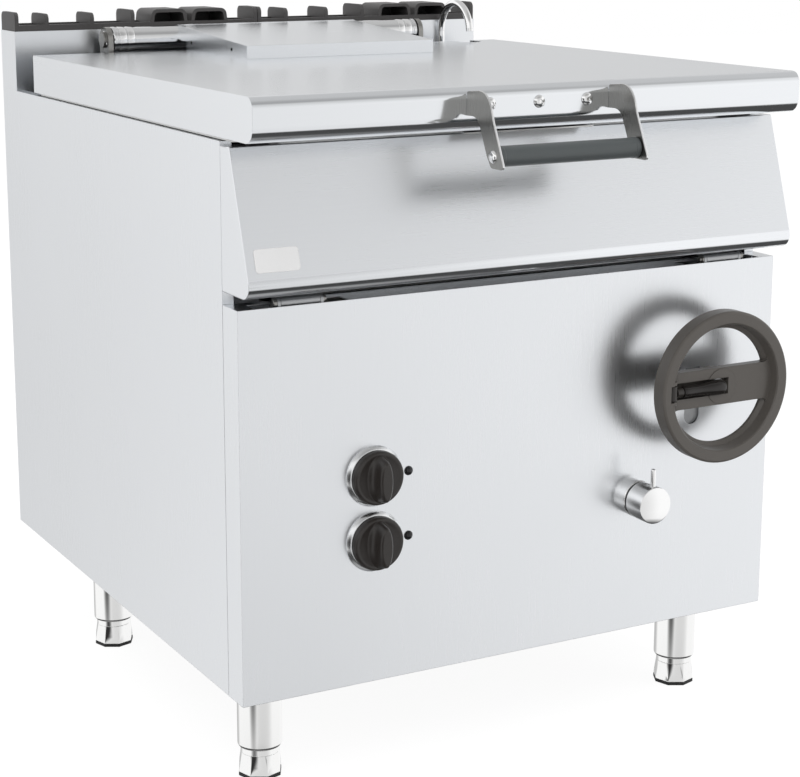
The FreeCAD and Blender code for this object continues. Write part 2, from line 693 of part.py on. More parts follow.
def rear_panel():
    """The back sheet of the casing."""
    inner_half = HALF_WIDTH - PANEL_FLANGE
    return box(-inner_half, inner_half, REAR_Y - SHEET, REAR_Y, CASING_BOTTOM, SIDE_TOP)


def grid_hood(left, right, y0, y1):
    """An arched hood of the grid and the passage through it, open to the front."""
    top = COLUMN_TOP + GRID_HEIGHT
    lean = HOOD_LEAN
    hood = plate_xz([(left, COLUMN_TOP), (right, COLUMN_TOP), (right - lean, top), (left + lean, top)], y0, y1)
    hood = round_edges(hood, HOOD_CORNER, lambda e, c: along(e, 1) and c.z > top - 1)
    inner_top = top - HOOD_WALL
    left += HOOD_WALL
    right -= HOOD_WALL
    passage = plate_xz([(left, COLUMN_TOP - 1), (right, COLUMN_TOP - 1), (right - lean, inner_top),
                        (left + lean, inner_top)], y0 - 1, y1 - FIN_THICKNESS)
    passage = round_edges(passage, HOOD_CORNER - HOOD_LEAN, lambda e, c: along(e, 1) and c.z > inner_top - 1)
    return hood, passage


def flue_grid():
    """The left half of the cast grid: an open base frame with upright fins and two arched hoods."""
    x0 = GRID_MARGIN - HALF_WIDTH
    x1 = -GRID_SPLIT
    y0 = COLUMN_Y + GRID_MARGIN
    y1 = REAR_Y - GRID_MARGIN
    base = box(x0, x1, y0, y1, COLUMN_TOP, COLUMN_TOP + GRID_BASE)
    well = box(x0 + GRID_END_BAR, x1 - GRID_END_BAR, y0 + GRID_SIDE_BAR, y1 - GRID_SIDE_BAR,
               COLUMN_TOP - 1, COLUMN_TOP + GRID_BASE + 1)
    grid = base.cut(well)
    top = COLUMN_TOP + GRID_HEIGHT
    low = top - FIN_STEP
    outer, inner, last = (-HALF_WIDTH * place for place in FIN_PLACES)
    for left, height in ((x0, top), (outer, low), (inner, low), (last, top), (x1 - FIN_THICKNESS, top)):
        fin = box(left, left + FIN_THICKNESS, y0, y1, COLUMN_TOP, height)
        grid = grid.fuse(round_edges(fin, FIN_CORNER, lambda e, c: along(e, 0) and c.z > height - 1))
    for place in HOOD_PLACES:
        left = -HALF_WIDTH * place
        right = left + HALF_WIDTH * HOOD_WIDTH
        hood, passage = grid_hood(left, right, y0, y1)
        sill = box(left, right, y0, y0 + FIN_THICKNESS, COLUMN_TOP, COLUMN_TOP + GRID_BASE)
        grid = grid.fuse(hood).cut(passage).fuse(sill)
    return grid.removeSplitter()


# Vessel and the tilting body


def vessel_block(wall, top):
    """The vessel's form, grown outward by a wall: a box with a sloping front and rounded corners."""
    front = VESSEL_FRONT_Y - wall
    front_top = VESSEL_FRONT_TOP_Y - wall
    rear = VESSEL_REAR_Y - VESSEL_WALL + wall
    bottom = VESSEL_BOTTOM - wall
    half = VESSEL_HALF_WIDTH + wall
    slope = (front_top - front) / (RIM_TOP - VESSEL_BOTTOM)
    high_front = front + slope * (top - bottom)
    block = plate_yz([(front, bottom), (rear, bottom), (rear, top), (high_front, top)], -half, half)
    radius = VESSEL_CORNER + wall
    return round_edges(block, radius, lambda e, c: not along(e, 0) and not along(e, 1)
                       and e.Curve.TypeId == "Part::GeomLine")


def pan_vessel():
    """The cooking vessel with its rim and pouring lip."""
    outer = vessel_block(VESSEL_WALL, RIM_TOP)
    rim_front = NOSE_Y + RIM_FRONT_SETBACK
    rim = box(-RIM_HALF_WIDTH, RIM_HALF_WIDTH, rim_front, VESSEL_REAR_Y, RIM_BOTTOM, RIM_TOP)
    lip_front = NOSE_Y + LIP_SETBACK
    lip = plate_yz([(rim_front, RIM_BOTTOM), (lip_front, RIM_BOTTOM - LIP_DROP), (lip_front, RIM_TOP - LIP_DROP),
                    (rim_front, RIM_TOP)], -LIP_HALF_WIDTH, LIP_HALF_WIDTH)
    shell = outer.fuse(rim).fuse(lip).cut(vessel_block(0.0, RIM_TOP + 5))
    return shell.removeSplitter()


def base_plate():
    """The thick heated plate under the vessel."""
    inset = VESSEL_CORNER / 2
    half = VESSEL_HALF_WIDTH - inset
    top = VESSEL_BOTTOM - VESSEL_WALL
    plate = box(-half, half, VESSEL_FRONT_Y + inset, VESSEL_REAR_Y - inset, top - BASE_PLATE, top)
    return round_edges(plate, VESSEL_CORNER, lambda e, c: along(e, 2))


def pan_jacket():
    """The sheet jacket round the front and the two sides of the vessel."""
    bottom = VESSEL_BOTTOM - VESSEL_WALL
    top = RIM_BOTTOM - JACKET_TOP_GAP
    rear = VESSEL_REAR_Y
    outer = box(-JACKET_HALF_WIDTH, JACKET_HALF_WIDTH, JACKET_FRONT_Y, rear, bottom, top)
    inner_half = JACKET_HALF_WIDTH - SHEET
    inner = box(-inner_half, inner_half, JACKET_FRONT_Y + SHEET, rear + 1, bottom + SHEET, top + 1)
    floor_cut = vessel_block(VESSEL_WALL, RIM_TOP)
    return outer.cut(inner).cut(floor_cut)


def apron():
    """The sloping front of the pan with its rounded lower nose, closed at both ends."""
    back = SEAM_Y - PANEL_JOINT_GAP
    front = APRON_CORNER_Y
    top_front = NOSE_Y + APRON_TOP_SETBACK
    outline = [(back, APRON_BOTTOM), (front, APRON_BOTTOM), (top_front, APRON_TOP), (back, APRON_TOP)]
    outer = plate_yz(outline, -HALF_WIDTH, HALF_WIDTH)
    outer = round_edges(outer, APRON_NOSE_RADIUS, lambda e, c: along(e, 0) and c.z < APRON_BOTTOM + 1
                        and c.y < front + 1)
    wall = APRON_WALL
    inner_front = front + 1.35 * wall
    inner_line = [(back + 1, APRON_BOTTOM + wall), (inner_front, APRON_BOTTOM + wall),
                  (top_front + 1.1 * wall, APRON_TOP - wall), (back + 1, APRON_TOP - wall)]
    inner = plate_yz(inner_line, -HALF_WIDTH + wall, HALF_WIDTH - wall)
    inner = round_edges(inner, APRON_NOSE_RADIUS - wall, lambda e, c: along(e, 0)
                        and c.z < APRON_BOTTOM + wall + 1 and c.y < inner_front + 1)
    shell = outer.cut(inner)
    low = APRON_BOTTOM + wall
    high = APRON_TOP - wall
    half = HALF_WIDTH - wall
    shell = shell.fuse(box(-half, half, back - wall, back, low, low + APRON_FLANGE))
    relief = box(-half, half, RAIL_FRONT_Y, back + 1, high - APRON_FLANGE, APRON_TOP + 1)
    upper_flange = box(-half, half, RAIL_FRONT_Y - wall, RAIL_FRONT_Y, high - APRON_FLANGE, high)
    return shell.cut(relief).fuse(upper_flange).removeSplitter()


def name_plate():
    """The bare plate with rounded corners near the apron's upper left edge."""
    slope = (APRON_TOP - APRON_BOTTOM) / (NOSE_Y + APRON_TOP_SETBACK - APRON_CORNER_Y)
    tilt = math.atan(slope)
    middle_y = APRON_CORNER_Y + (PLATE_MIDDLE_Z - APRON_BOTTOM) / slope
    plate = box(-PLATE_LENGTH / 2, PLATE_LENGTH / 2, -PLATE_THICKNESS, 0, -PLATE_HEIGHT / 2, PLATE_HEIGHT / 2)
    plate = round_edges(plate, PLATE_CORNER, lambda e, c: along(e, 1))
    plate.rotate(Vector(0, 0, 0), Vector(1, 0, 0), math.degrees(tilt) - 90)
    plate.translate(Vector(PLATE_X, middle_y, PLATE_MIDDLE_Z))
    return plate


def apron_rails():
    """Two folded rails that carry the apron on the front of the jacket."""
    back = SEAM_Y - PANEL_JOINT_GAP
    half = RAIL_HALF_LENGTH
    low = APRON_BOTTOM + APRON_WALL + RAIL_GAP
    lower = box(-half, half, back, JACKET_FRONT_Y, low, low + RAIL_HEIGHT)
    hollow = box(-half - 1, half + 1, back + SHEET, JACKET_FRONT_Y - SHEET, low - 1, low + RAIL_HEIGHT - SHEET)
    high = APRON_TOP - APRON_WALL - RAIL_GAP
    outline = [(RAIL_FRONT_Y, high - RAIL_HEIGHT), (vessel_face(high - RAIL_HEIGHT), high - RAIL_HEIGHT),
               (vessel_face(high), high), (RAIL_FRONT_Y, high)]
    upper = plate_yz(outline, -half, half)
    return Part.makeCompound([lower.cut(hollow), upper])


def vessel_face(z):
    """How far forward the outside of the vessel's sloping front reaches at a height."""
    slope = (VESSEL_FRONT_TOP_Y - VESSEL_FRONT_Y) / (RIM_TOP - VESSEL_BOTTOM)
    return VESSEL_FRONT_Y - VESSEL_WALL + slope * (z - VESSEL_BOTTOM + VESSEL_WALL)


def hinge_beam():
    """The box beam across the back of the vessel that stiffens it and carries the lid hinge."""
    top = RIM_BOTTOM
    bottom = top - BEAM_HEIGHT
    beam = box(-BEAM_HALF_LENGTH, BEAM_HALF_LENGTH, VESSEL_REAR_Y, VESSEL_REAR_Y + BEAM_DEPTH, bottom, top)
    hollow = box(-BEAM_HALF_LENGTH - 1, BEAM_HALF_LENGTH + 1, VESSEL_REAR_Y + BEAM_WALL,
                 VESSEL_REAR_Y + BEAM_DEPTH - BEAM_WALL, bottom + BEAM_WALL, top - BEAM_WALL)
    rim_cut = box(-HALF_WIDTH, HALF_WIDTH, VESSEL_REAR_Y - 1, VESSEL_REAR_Y, RIM_BOTTOM, RIM_TOP)
    return beam.cut(hollow).cut(rim_cut)


def hinge_bracket():
    """The left bracket that stands on the beam and holds the lid journal."""
    x0 = -BRACKET_X - BRACKET_THICKNESS
    x1 = -BRACKET_X
    beam_back = VESSEL_REAR_Y + BEAM_DEPTH
    low = RIM_BOTTOM - BRACKET_DROP
    eye_radius = BRACKET_EYE
    outline = [(beam_back - 14, RIM_BOTTOM), (beam_back, RIM_BOTTOM), (beam_back, low),
               (beam_back + 12, low), (HINGE_Y + eye_radius, HINGE_Z - 30),
               (HINGE_Y + eye_radius, HINGE_Z), (HINGE_Y - eye_radius, HINGE_Z),
               (HINGE_Y - eye_radius, HINGE_Z - 22)]
    bracket = plate_yz(outline, x0, x1)
    eye = rod((x0, HINGE_Y, HINGE_Z), (x1, HINGE_Y, HINGE_Z), eye_radius)
    bore = rod((x0 - 1, HINGE_Y, HINGE_Z), (x1 + 1, HINGE_Y, HINGE_Z), JOURNAL_RADIUS)
    return bracket.fuse(eye).cut(bore).removeSplitter()


def hinge_journal():
    """The left journal pin that the lid tube turns on."""
    outer_x = -BRACKET_X - BRACKET_THICKNESS
    inner_x = -TUBE_HALF_LENGTH + 1.5 * CAP_SPIGOT
    pin = rod((outer_x, HINGE_Y, HINGE_Z), (inner_x, HINGE_Y, HINGE_Z), JOURNAL_RADIUS)
    head = rod((outer_x - JOURNAL_HEAD, HINGE_Y, HINGE_Z), (outer_x, HINGE_Y, HINGE_Z), JOURNAL_HEAD_RADIUS)
    return pin.fuse(head)


def bracket_with_journal():
    """The left bracket with its welded journal."""
    return hinge_bracket().fuse(hinge_journal()).removeSplitter()


# Lid


def lid_block(inset):
    """The lid's form, shrunk by a sheet thickness: a flat box with a rounded front nose."""
    half = LID_HALF_WIDTH - inset
    front = NOSE_Y + inset
    rear = LID_REAR_Y - inset
    top = LID_TOP - inset
    bottom = LID_BOTTOM + inset
    block = plate_yz([(front, bottom), (rear, bottom), (rear, top), (front, top)], -half, half)
    block = round_edges(block, NOSE_TOP_RADIUS - inset,
                        lambda e, c: along(e, 0) and c.y < front + 1 and c.z > top - 1)
    return round_edges(block, NOSE_BOTTOM_RADIUS - inset,
                       lambda e, c: along(e, 0) and c.y < front + 1 and c.z < bottom + 1)


def lid_notch():
    """The slot in the lid's back edge that the water spout reaches through."""
    centre_y = LID_REAR_Y - NOTCH_INSET
    low = LID_BOTTOM - 5
    high = LID_TOP + 5
    throat = box(SPOUT_X - NOTCH_RADIUS, SPOUT_X + NOTCH_RADIUS, centre_y, LID_REAR_Y + 5, low, high)
    return throat.fuse(rod((SPOUT_X, centre_y, low), (SPOUT_X, centre_y, high), NOTCH_RADIUS))


def lid_shell():
    """The lid's outer sheet: a top, three skirts and a rolled nose, with the spout slot."""
    shell = lid_block(0.0).cut(lid_block(LID_SHEET))
    mouth = box(-LID_HALF_WIDTH + LID_SHEET, LID_HALF_WIDTH - LID_SHEET, NOSE_Y + NOSE_UNDERSIDE,
                LID_REAR_Y - LID_SHEET, LID_BOTTOM - 1, LID_BOTTOM + LID_SHEET + 1)
    shell = shell.cut(mouth).cut(lid_notch())
    for x in stud_places():
        shell = shell.cut(rod((x, NOSE_Y - 1, STUD_Z), (x, NOSE_Y + 2 * LID_SHEET, STUD_Z), SCREW_RADIUS))
    return shell


def lid_liner():
    """The inner skin of the lid, a shallow tray hung under the top sheet."""
    top = LID_TOP - LID_SHEET
    bottom = top - LINER_HEIGHT
    y0 = VESSEL_FRONT_Y + LINER_GAP
    y1 = LID_REAR_Y - NOTCH_INSET - NOTCH_RADIUS - LINER_GAP
    tray = box(-LINER_HALF_WIDTH, LINER_HALF_WIDTH, y0, y1, bottom, top)
    hollow = box(-LINER_HALF_WIDTH + SHEET, LINER_HALF_WIDTH - SHEET, y0 + SHEET, y1 - SHEET,
                 bottom + SHEET, top + 1)
    return tray.cut(hollow)


def hinge_cover():
    """The raised plate on the lid that runs back and wraps over the hinge tube."""
    front = LID_REAR_Y - COVER_FRONT_TO_REAR
    wall = LID_SHEET
    wrap = TUBE_RADIUS + wall

    def cover_solid(inset):
        radius = wrap - inset
        steep = math.radians(COVER_SLOPE_END)
        touch = (HINGE_Y - radius * math.cos(steep), HINGE_Z + radius * math.sin(steep))
        corner_top = (front + inset, LID_TOP + COVER_FRONT_HEIGHT - inset)
        foot = (front + inset, LID_TOP)
        points = [Vector(0, *foot), Vector(0, *corner_top), Vector(0, *touch)]
        back_touch = Vector(0, HINGE_Y + radius, HINGE_Z)
        crown = Vector(0, HINGE_Y, HINGE_Z + radius)
        lines = [Part.LineSegment(points[0], points[1]).toShape(), Part.LineSegment(points[1], points[2]).toShape()]
        lines.append(Part.Arc(points[2], crown, back_touch).toShape())
        low_back = Vector(0, HINGE_Y + radius, HINGE_Z - 4)
        low_front = Vector(0, LID_REAR_Y, HINGE_Z - 4)
        rest = [back_touch, low_back, low_front, Vector(0, LID_REAR_Y, LID_TOP), points[0]]
        for start, end in zip(rest[:-1], rest[1:]):
            lines.append(Part.LineSegment(start, end).toShape())
        face = Part.Face(Part.Wire(lines))
        half = COVER_HALF_WIDTH - inset
        face.translate(Vector(-half, 0, 0))
        return face.extrude(Vector(2 * half, 0, 0))

    cover = cover_solid(0.0).cut(cover_solid(wall))
    slot = box(-COVER_HALF_WIDTH + wall, COVER_HALF_WIDTH - wall, front + wall, HINGE_Y + TUBE_RADIUS,
               LID_TOP - 1, HINGE_Z - 3.5)
    tube = rod((-HALF_WIDTH, HINGE_Y, HINGE_Z), (HALF_WIDTH, HINGE_Y, HINGE_Z), TUBE_RADIUS)
    return cover.cut(slot).cut(tube)


def hinge_tube():
    """The lid's hinge tube, which holds the balance springs."""
    tube = ring((-TUBE_HALF_LENGTH, HINGE_Y, HINGE_Z), (TUBE_HALF_LENGTH, HINGE_Y, HINGE_Z),
                TUBE_RADIUS, TUBE_RADIUS - TUBE_WALL)
    return tube


def tube_cap():
    """The left end cap of the hinge tube with its bearing bore."""
    outer_x = -TUBE_HALF_LENGTH - CAP_LENGTH
    bore = JOURNAL_RADIUS + RUNNING_CLEARANCE
    disc = ring((outer_x, HINGE_Y, HINGE_Z), (-TUBE_HALF_LENGTH, HINGE_Y, HINGE_Z), CAP_RADIUS, bore)
    spigot = ring((-TUBE_HALF_LENGTH, HINGE_Y, HINGE_Z), (-TUBE_HALF_LENGTH + CAP_SPIGOT, HINGE_Y, HINGE_Z),
                  TUBE_RADIUS - TUBE_WALL, bore)
    return disc.fuse(spigot).removeSplitter()


def handle_arm(x0):
    """One plate arm of the lid handle, from the nose forward and down to the grip."""
    grip_y = GRIP_Y
    grip_z = GRIP_Z
    tip_y = -REAR_Y
    outline = [(NOSE_Y + 6, LID_TOP - 5), (NOSE_Y - 31, LID_TOP - 1.5), (NOSE_Y - 49, LID_TOP - 11),
               (NOSE_Y - 59, LID_TOP - 35), (tip_y, grip_z - 9), (tip_y + 2, grip_z - 14),
               (grip_y + 5, grip_z - 14), (grip_y + 15, grip_z), (NOSE_Y - 27, LID_TOP - 38),
               (NOSE_Y - 17, LID_TOP - 33), (NOSE_Y + 6, LID_TOP - 34)]
    arm = plate_yz(outline, x0, x0 + ARM_THICKNESS)
    arm = round_edges(arm, ARM_BEND, lambda e, c: along(e, 0) and c.y < NOSE_Y - 20 and c.z > LID_TOP - 45)
    hole = rod((x0 - 1, grip_y, grip_z), (x0 + ARM_THICKNESS + 1, grip_y, grip_z), SCREW_RADIUS)
    return arm.cut(lid_block(0.0)).cut(hole)


def handle_arms():
    """The two arms of the lid handle."""
    left = handle_arm(HANDLE_X - HANDLE_HALF_WIDTH)
    right = handle_arm(HANDLE_X + HANDLE_HALF_WIDTH - ARM_THICKNESS)
    return Part.makeCompound([left, right])


def handle_grip():
    """The round hand grip between the arms."""
    half = HANDLE_HALF_WIDTH - ARM_THICKNESS
    grip = rod((HANDLE_X - half, GRIP_Y, GRIP_Z), (HANDLE_X + half, GRIP_Y, GRIP_Z), GRIP_RADIUS)
    return round_edges(grip, GRIP_EDGE, lambda e, c: e.Curve.TypeId == "Part::GeomCircle")


def grip_screws():
    """The two round-headed screws that hold the grip."""
    screws = []
    for side in (-1, 1):
        face_x = HANDLE_X + side * HANDLE_HALF_WIDTH
        top_x = face_x + side * SCREW_HEAD
        shank = rod((face_x - side * ARM_THICKNESS, GRIP_Y, GRIP_Z), (face_x, GRIP_Y, GRIP_Z), SCREW_RADIUS)
        head = rod((face_x, GRIP_Y, GRIP_Z), (top_x, GRIP_Y, GRIP_Z), SCREW_HEAD_RADIUS)
        head = round_edges(head, SCREW_HEAD_EDGE, lambda e, c: abs(c.x - top_x) < SCREW_HEAD / 2)
        screws.append(shank.fuse(head))
    return Part.makeCompound(screws)


def stud_places():
    """The places of the studs across the nose."""
    return [STUD_MIDDLE_X + index * STUD_SPACING for index in (-1, 0, 1)]


def nose_studs():
    """Three domed studs across the nose between the handle arms."""
    studs = []
    front = NOSE_Y - STUD_HEIGHT
    for x in stud_places():
        shank = rod((x, NOSE_Y, STUD_Z), (x, NOSE_Y + STUD_SHANK, STUD_Z), SCREW_RADIUS)
        dome = rod((x, front, STUD_Z), (x, NOSE_Y, STUD_Z), STUD_RADIUS)
        dome = round_edges(dome, STUD_EDGE, lambda e, c: c.y < front + STUD_HEIGHT / 2)
        studs.append(shank.fuse(dome))
    return Part.makeCompound(studs)


# Tilt drive


def involute(angle):
    """The involute function of a pressure angle."""
    return math.tan(angle) - angle


def gear_outline(teeth, first, count, phase):
    """Points of a toothed edge about the origin: involute flanks, tips and roots, anticlockwise."""
    pitch_radius = GEAR_MODULE * teeth / 2
    base_radius = pitch_radius * math.cos(PRESSURE_ANGLE)
    tip_radius = pitch_radius + GEAR_MODULE
    root_radius = pitch_radius - 1.25 * GEAR_MODULE
    tooth_pitch = 2 * math.pi / teeth
    half_tooth = tooth_pitch / 4 - GEAR_BACKLASH / (4 * pitch_radius)
    start_radius = max(base_radius, root_radius)
    radii = [start_radius + (tip_radius - start_radius) * step / 3 for step in range(4)]
    points = []
    for index in range(first, first + count):
        middle = phase + index * tooth_pitch
        half_angles = []
        for radius in radii:
            flank = math.acos(min(1.0, base_radius / radius))
            half_angles.append(half_tooth + involute(PRESSURE_ANGLE) - involute(flank))
        points.append((root_radius, middle - half_angles[0]))
        if start_radius > root_radius + 0.01:
            points.append((start_radius, middle - half_angles[0]))
        for radius, half in zip(radii[1:], half_angles[1:]):
            points.append((radius, middle - half))
        for radius, half in reversed(list(zip(radii[1:], half_angles[1:]))):
            points.append((radius, middle + half))
        if start_radius > root_radius + 0.01:
            points.append((start_radius, middle + half_angles[0]))
        points.append((root_radius, middle + half_angles[0]))
    return [(radius * math.cos(angle), radius * math.sin(angle)) for radius, angle in points]


def gear_solid(teeth, phase, centre_y, centre_z, x0, x1):
    """A full spur gear on an axis along X."""
    outline = [(centre_y + y, centre_z + z) for y, z in gear_outline(teeth, 0, teeth, phase)]
    return plate_yz(outline, x0, x1)


def tilt_sector():
    """The toothed sector on the pan's right side, centred on the tilt axis, with its web and bosses."""
    above = int((math.radians(SECTOR_HIGH) - MESH_ANGLE) / SECTOR_PITCH)
    below = int((MESH_ANGLE - math.radians(SECTOR_LOW)) / SECTOR_PITCH - 0.5)
    rim = gear_outline(SECTOR_TEETH, -below, above + below + 1, MESH_ANGLE)
    inner_radius = SECTOR_RADIUS - SECTOR_BAND
    first = MESH_ANGLE - (below + 0.25) * SECTOR_PITCH
    last = MESH_ANGLE + (above + 0.25) * SECTOR_PITCH
    arc = []
    for step in range(13):
        angle = last + (first - last) * step / 12
        arc.append((inner_radius * math.cos(angle), inner_radius * math.sin(angle)))
    outline = [(TILT_Y + y, TILT_Z + z) for y, z in rim + arc]
    band = plate_yz(outline, GEAR_X0, GEAR_X1)
    fix_y = JACKET_FRONT_Y + SECTOR_FIX_SETBACK
    web_top = TILT_Z + SECTOR_WEB_HEIGHT
    web = plate_yz([(fix_y - 34, TILT_Z + 12), (TILT_Y + inner_radius + 4, TILT_Z + 2),
                    (TILT_Y + inner_radius + 2, TILT_Z + 22), (fix_y + 35, web_top),
                    (fix_y - 14, web_top)], GEAR_X0, GEAR_X1)
    spoke_angle = math.radians(-40)
    spoke_y = TILT_Y + (inner_radius + 3) * math.cos(spoke_angle)
    spoke_z = TILT_Z + (inner_radius + 3) * math.sin(spoke_angle)
    spoke = plate_yz([(fix_y - 34, TILT_Z + 12), (spoke_y - 8, spoke_z - 8), (spoke_y + 6, spoke_z + 10),
                      (fix_y - 2, TILT_Z + 14)], GEAR_X0, GEAR_X1)
    sector = band.fuse(web).fuse(spoke)
    for y, z in ((fix_y - 4, TILT_Z + 62), (fix_y + 22, TILT_Z + 62), (fix_y - 16, TILT_Z + 24)):
        boss = rod((JACKET_HALF_WIDTH, y, z), (GEAR_X0, y, z), SECTOR_BOSS_RADIUS)
        sector = sector.fuse(boss)
    return sector.removeSplitter()


def idler_gear():
    """The idler between the sector and the pinion, with a raised hub and lightening holes."""
    phase = MESH_ANGLE + math.pi + math.pi / IDLER_TEETH
    gear = gear_solid(IDLER_TEETH, phase, IDLER_Y, IDLER_Z, GEAR_X0, GEAR_X1)
    hub = rod((GEAR_X0 - IDLER_HUB_REACH, IDLER_Y, IDLER_Z), (GEAR_X1 + IDLER_HUB_REACH, IDLER_Y, IDLER_Z),
              IDLER_HUB_RADIUS)
    gear = gear.fuse(hub)
    for step in range(IDLER_HOLES):
        angle = 2 * math.pi * step / IDLER_HOLES
        y = IDLER_Y + IDLER_HOLE_CIRCLE * math.cos(angle)
        z = IDLER_Z + IDLER_HOLE_CIRCLE * math.sin(angle)
        gear = gear.cut(rod((GEAR_X0 - 1, y, z), (GEAR_X1 + 1, y, z), IDLER_HOLE_RADIUS))
    bore = IDLER_AXLE_RADIUS + RUNNING_CLEARANCE
    reach = IDLER_HUB_REACH + 1
    return gear.cut(rod((GEAR_X0 - reach, IDLER_Y, IDLER_Z), (GEAR_X1 + reach, IDLER_Y, IDLER_Z), bore))


def idler_axle():
    """The idler's fixed axle, welded in the carrier plate, with a retaining washer."""
    washer_x = GEAR_X0 - IDLER_HUB_REACH - LUG_GAP
    end_x = washer_x - PIN_CLIP
    axle = rod((end_x, IDLER_Y, IDLER_Z), (CARRIER_X1, IDLER_Y, IDLER_Z), IDLER_AXLE_RADIUS)
    washer = rod((end_x, IDLER_Y, IDLER_Z), (washer_x, IDLER_Y, IDLER_Z), 1.4 * IDLER_AXLE_RADIUS)
    return axle.fuse(washer)


def gear_phase_of_pinion():
    """The pinion's angle at rest, from the idler tooth space that faces it."""
    idler_phase = MESH_ANGLE + math.pi + math.pi / IDLER_TEETH
    down = -math.pi / 2
    offset = (down - idler_phase) / (2 * math.pi / IDLER_TEETH)
    fraction = offset - math.floor(offset)
    return math.pi / 2 + (fraction - 0.5) * 2 * math.pi / PINION_TEETH


def drive_pinion():
    """The pinion at the end of the cross shaft."""
    gear = gear_solid(PINION_TEETH, gear_phase_of_pinion(), PINION_Y, PINION_Z, GEAR_X0, GEAR_X1)
    hub_x = GEAR_X0 - PINION_HUB_LENGTH
    hub = rod((hub_x, PINION_Y, PINION_Z), (GEAR_X0, PINION_Y, PINION_Z), PINION_HUB_RADIUS)
    bore = rod((hub_x - 1, PINION_Y, PINION_Z), (GEAR_X1 + 1, PINION_Y, PINION_Z), CROSS_SHAFT_RADIUS)
    return gear.fuse(hub).cut(bore)


def cross_shaft():
    """The shaft from the gearbox to the pinion, carried at its outer end in the carrier plate."""
    start_x = GEARBOX_X1 - CROSS_ENGAGEMENT
    return rod((start_x, PINION_Y, PINION_Z), (CARRIER_X1 + 3, PINION_Y, PINION_Z), CROSS_SHAFT_RADIUS)


def carrier_half(z):
    """Half the carrier plate's width at a height below the cross shaft."""
    waist_z = PINION_Z + GEARBOX_CORNER
    share = (z - FRAME_TOP) / (waist_z - FRAME_TOP)
    return CARRIER_FOOT_HALF + share * (CARRIER_WAIST_HALF - CARRIER_FOOT_HALF)


def gear_carrier():
    """The plate that stands on the frame rail and carries the idler axle and the cross shaft."""
    waist_z = PINION_Z + GEARBOX_CORNER
    shoulder_z = IDLER_Z + CARRIER_HEAD_HALF / 3
    head_z = IDLER_Z + CARRIER_HEAD_HALF
    head = CARRIER_HEAD_HALF / 2
    outline = [(PINION_Y - CARRIER_FOOT_HALF, FRAME_TOP), (PINION_Y + CARRIER_FOOT_HALF, FRAME_TOP),
               (PINION_Y + CARRIER_WAIST_HALF, waist_z), (IDLER_Y + CARRIER_HEAD_HALF, shoulder_z),
               (IDLER_Y + head, head_z), (IDLER_Y - head, head_z), (IDLER_Y - CARRIER_HEAD_HALF, shoulder_z),
               (PINION_Y - CARRIER_WAIST_HALF, waist_z)]
    plate = plate_yz(outline, CARRIER_X0, CARRIER_X1)
    low = FRAME_TOP + CARRIER_WINDOW_GAP
    high = PINION_Z - CARRIER_WINDOW_GAP
    low_half = carrier_half(low) - CARRIER_STRIP
    high_half = carrier_half(high) - CARRIER_STRIP
    window = plate_yz([(PINION_Y - low_half, low), (PINION_Y + low_half, low), (PINION_Y + high_half, high),
                       (PINION_Y - high_half, high)], CARRIER_X0 - 1, CARRIER_X1 + 1)
    foot = box(FRAME_OUTER_X - FRAME_TUBE, CARRIER_X1, PINION_Y - CARRIER_FOOT_HALF, PINION_Y + CARRIER_FOOT_HALF,
               FRAME_TOP, FRAME_TOP + CARRIER_THICKNESS)
    shaft_hole = rod((CARRIER_X0 - 1, PINION_Y, PINION_Z), (CARRIER_X1 + 1, PINION_Y, PINION_Z),
                     CROSS_SHAFT_RADIUS + RUNNING_CLEARANCE)
    return plate.cut(window).fuse(foot).cut(shaft_hole).fuse(idler_axle()).removeSplitter()


def gearbox_pedestal(y0, y1, low):
    """The A-shaped stand under the gearbox and the tie plate that bolts it to the frame rail."""
    x0 = GEARBOX_X0 + PEDESTAL_INSET
    x1 = GEARBOX_X1 - PEDESTAL_INSET
    stand = plate_yz([(y0 - PEDESTAL_SPREAD, FRAME_TOP), (y1 + PEDESTAL_SPREAD, FRAME_TOP),
                      (y1, low + PEDESTAL_INSET), (y0, low + PEDESTAL_INSET)], x0, x1)
    foot_in = PEDESTAL_LEG - PEDESTAL_SPREAD
    window_low = FRAME_TOP + PEDESTAL_SPREAD
    window_high = low - PEDESTAL_LEG
    window = plate_yz([(y0 + foot_in, window_low), (y1 - foot_in, window_low), (y1 - PEDESTAL_LEG, window_high),
                       (y0 + PEDESTAL_LEG, window_high)], GEARBOX_X0, GEARBOX_X1)
    tie = box(x0, FRAME_OUTER_X - FRAME_TUBE, y0 - PEDESTAL_SPREAD, y1 + PEDESTAL_SPREAD,
              FRAME_TOP - CARRIER_THICKNESS, FRAME_TOP)
    return stand.cut(window).fuse(tie)


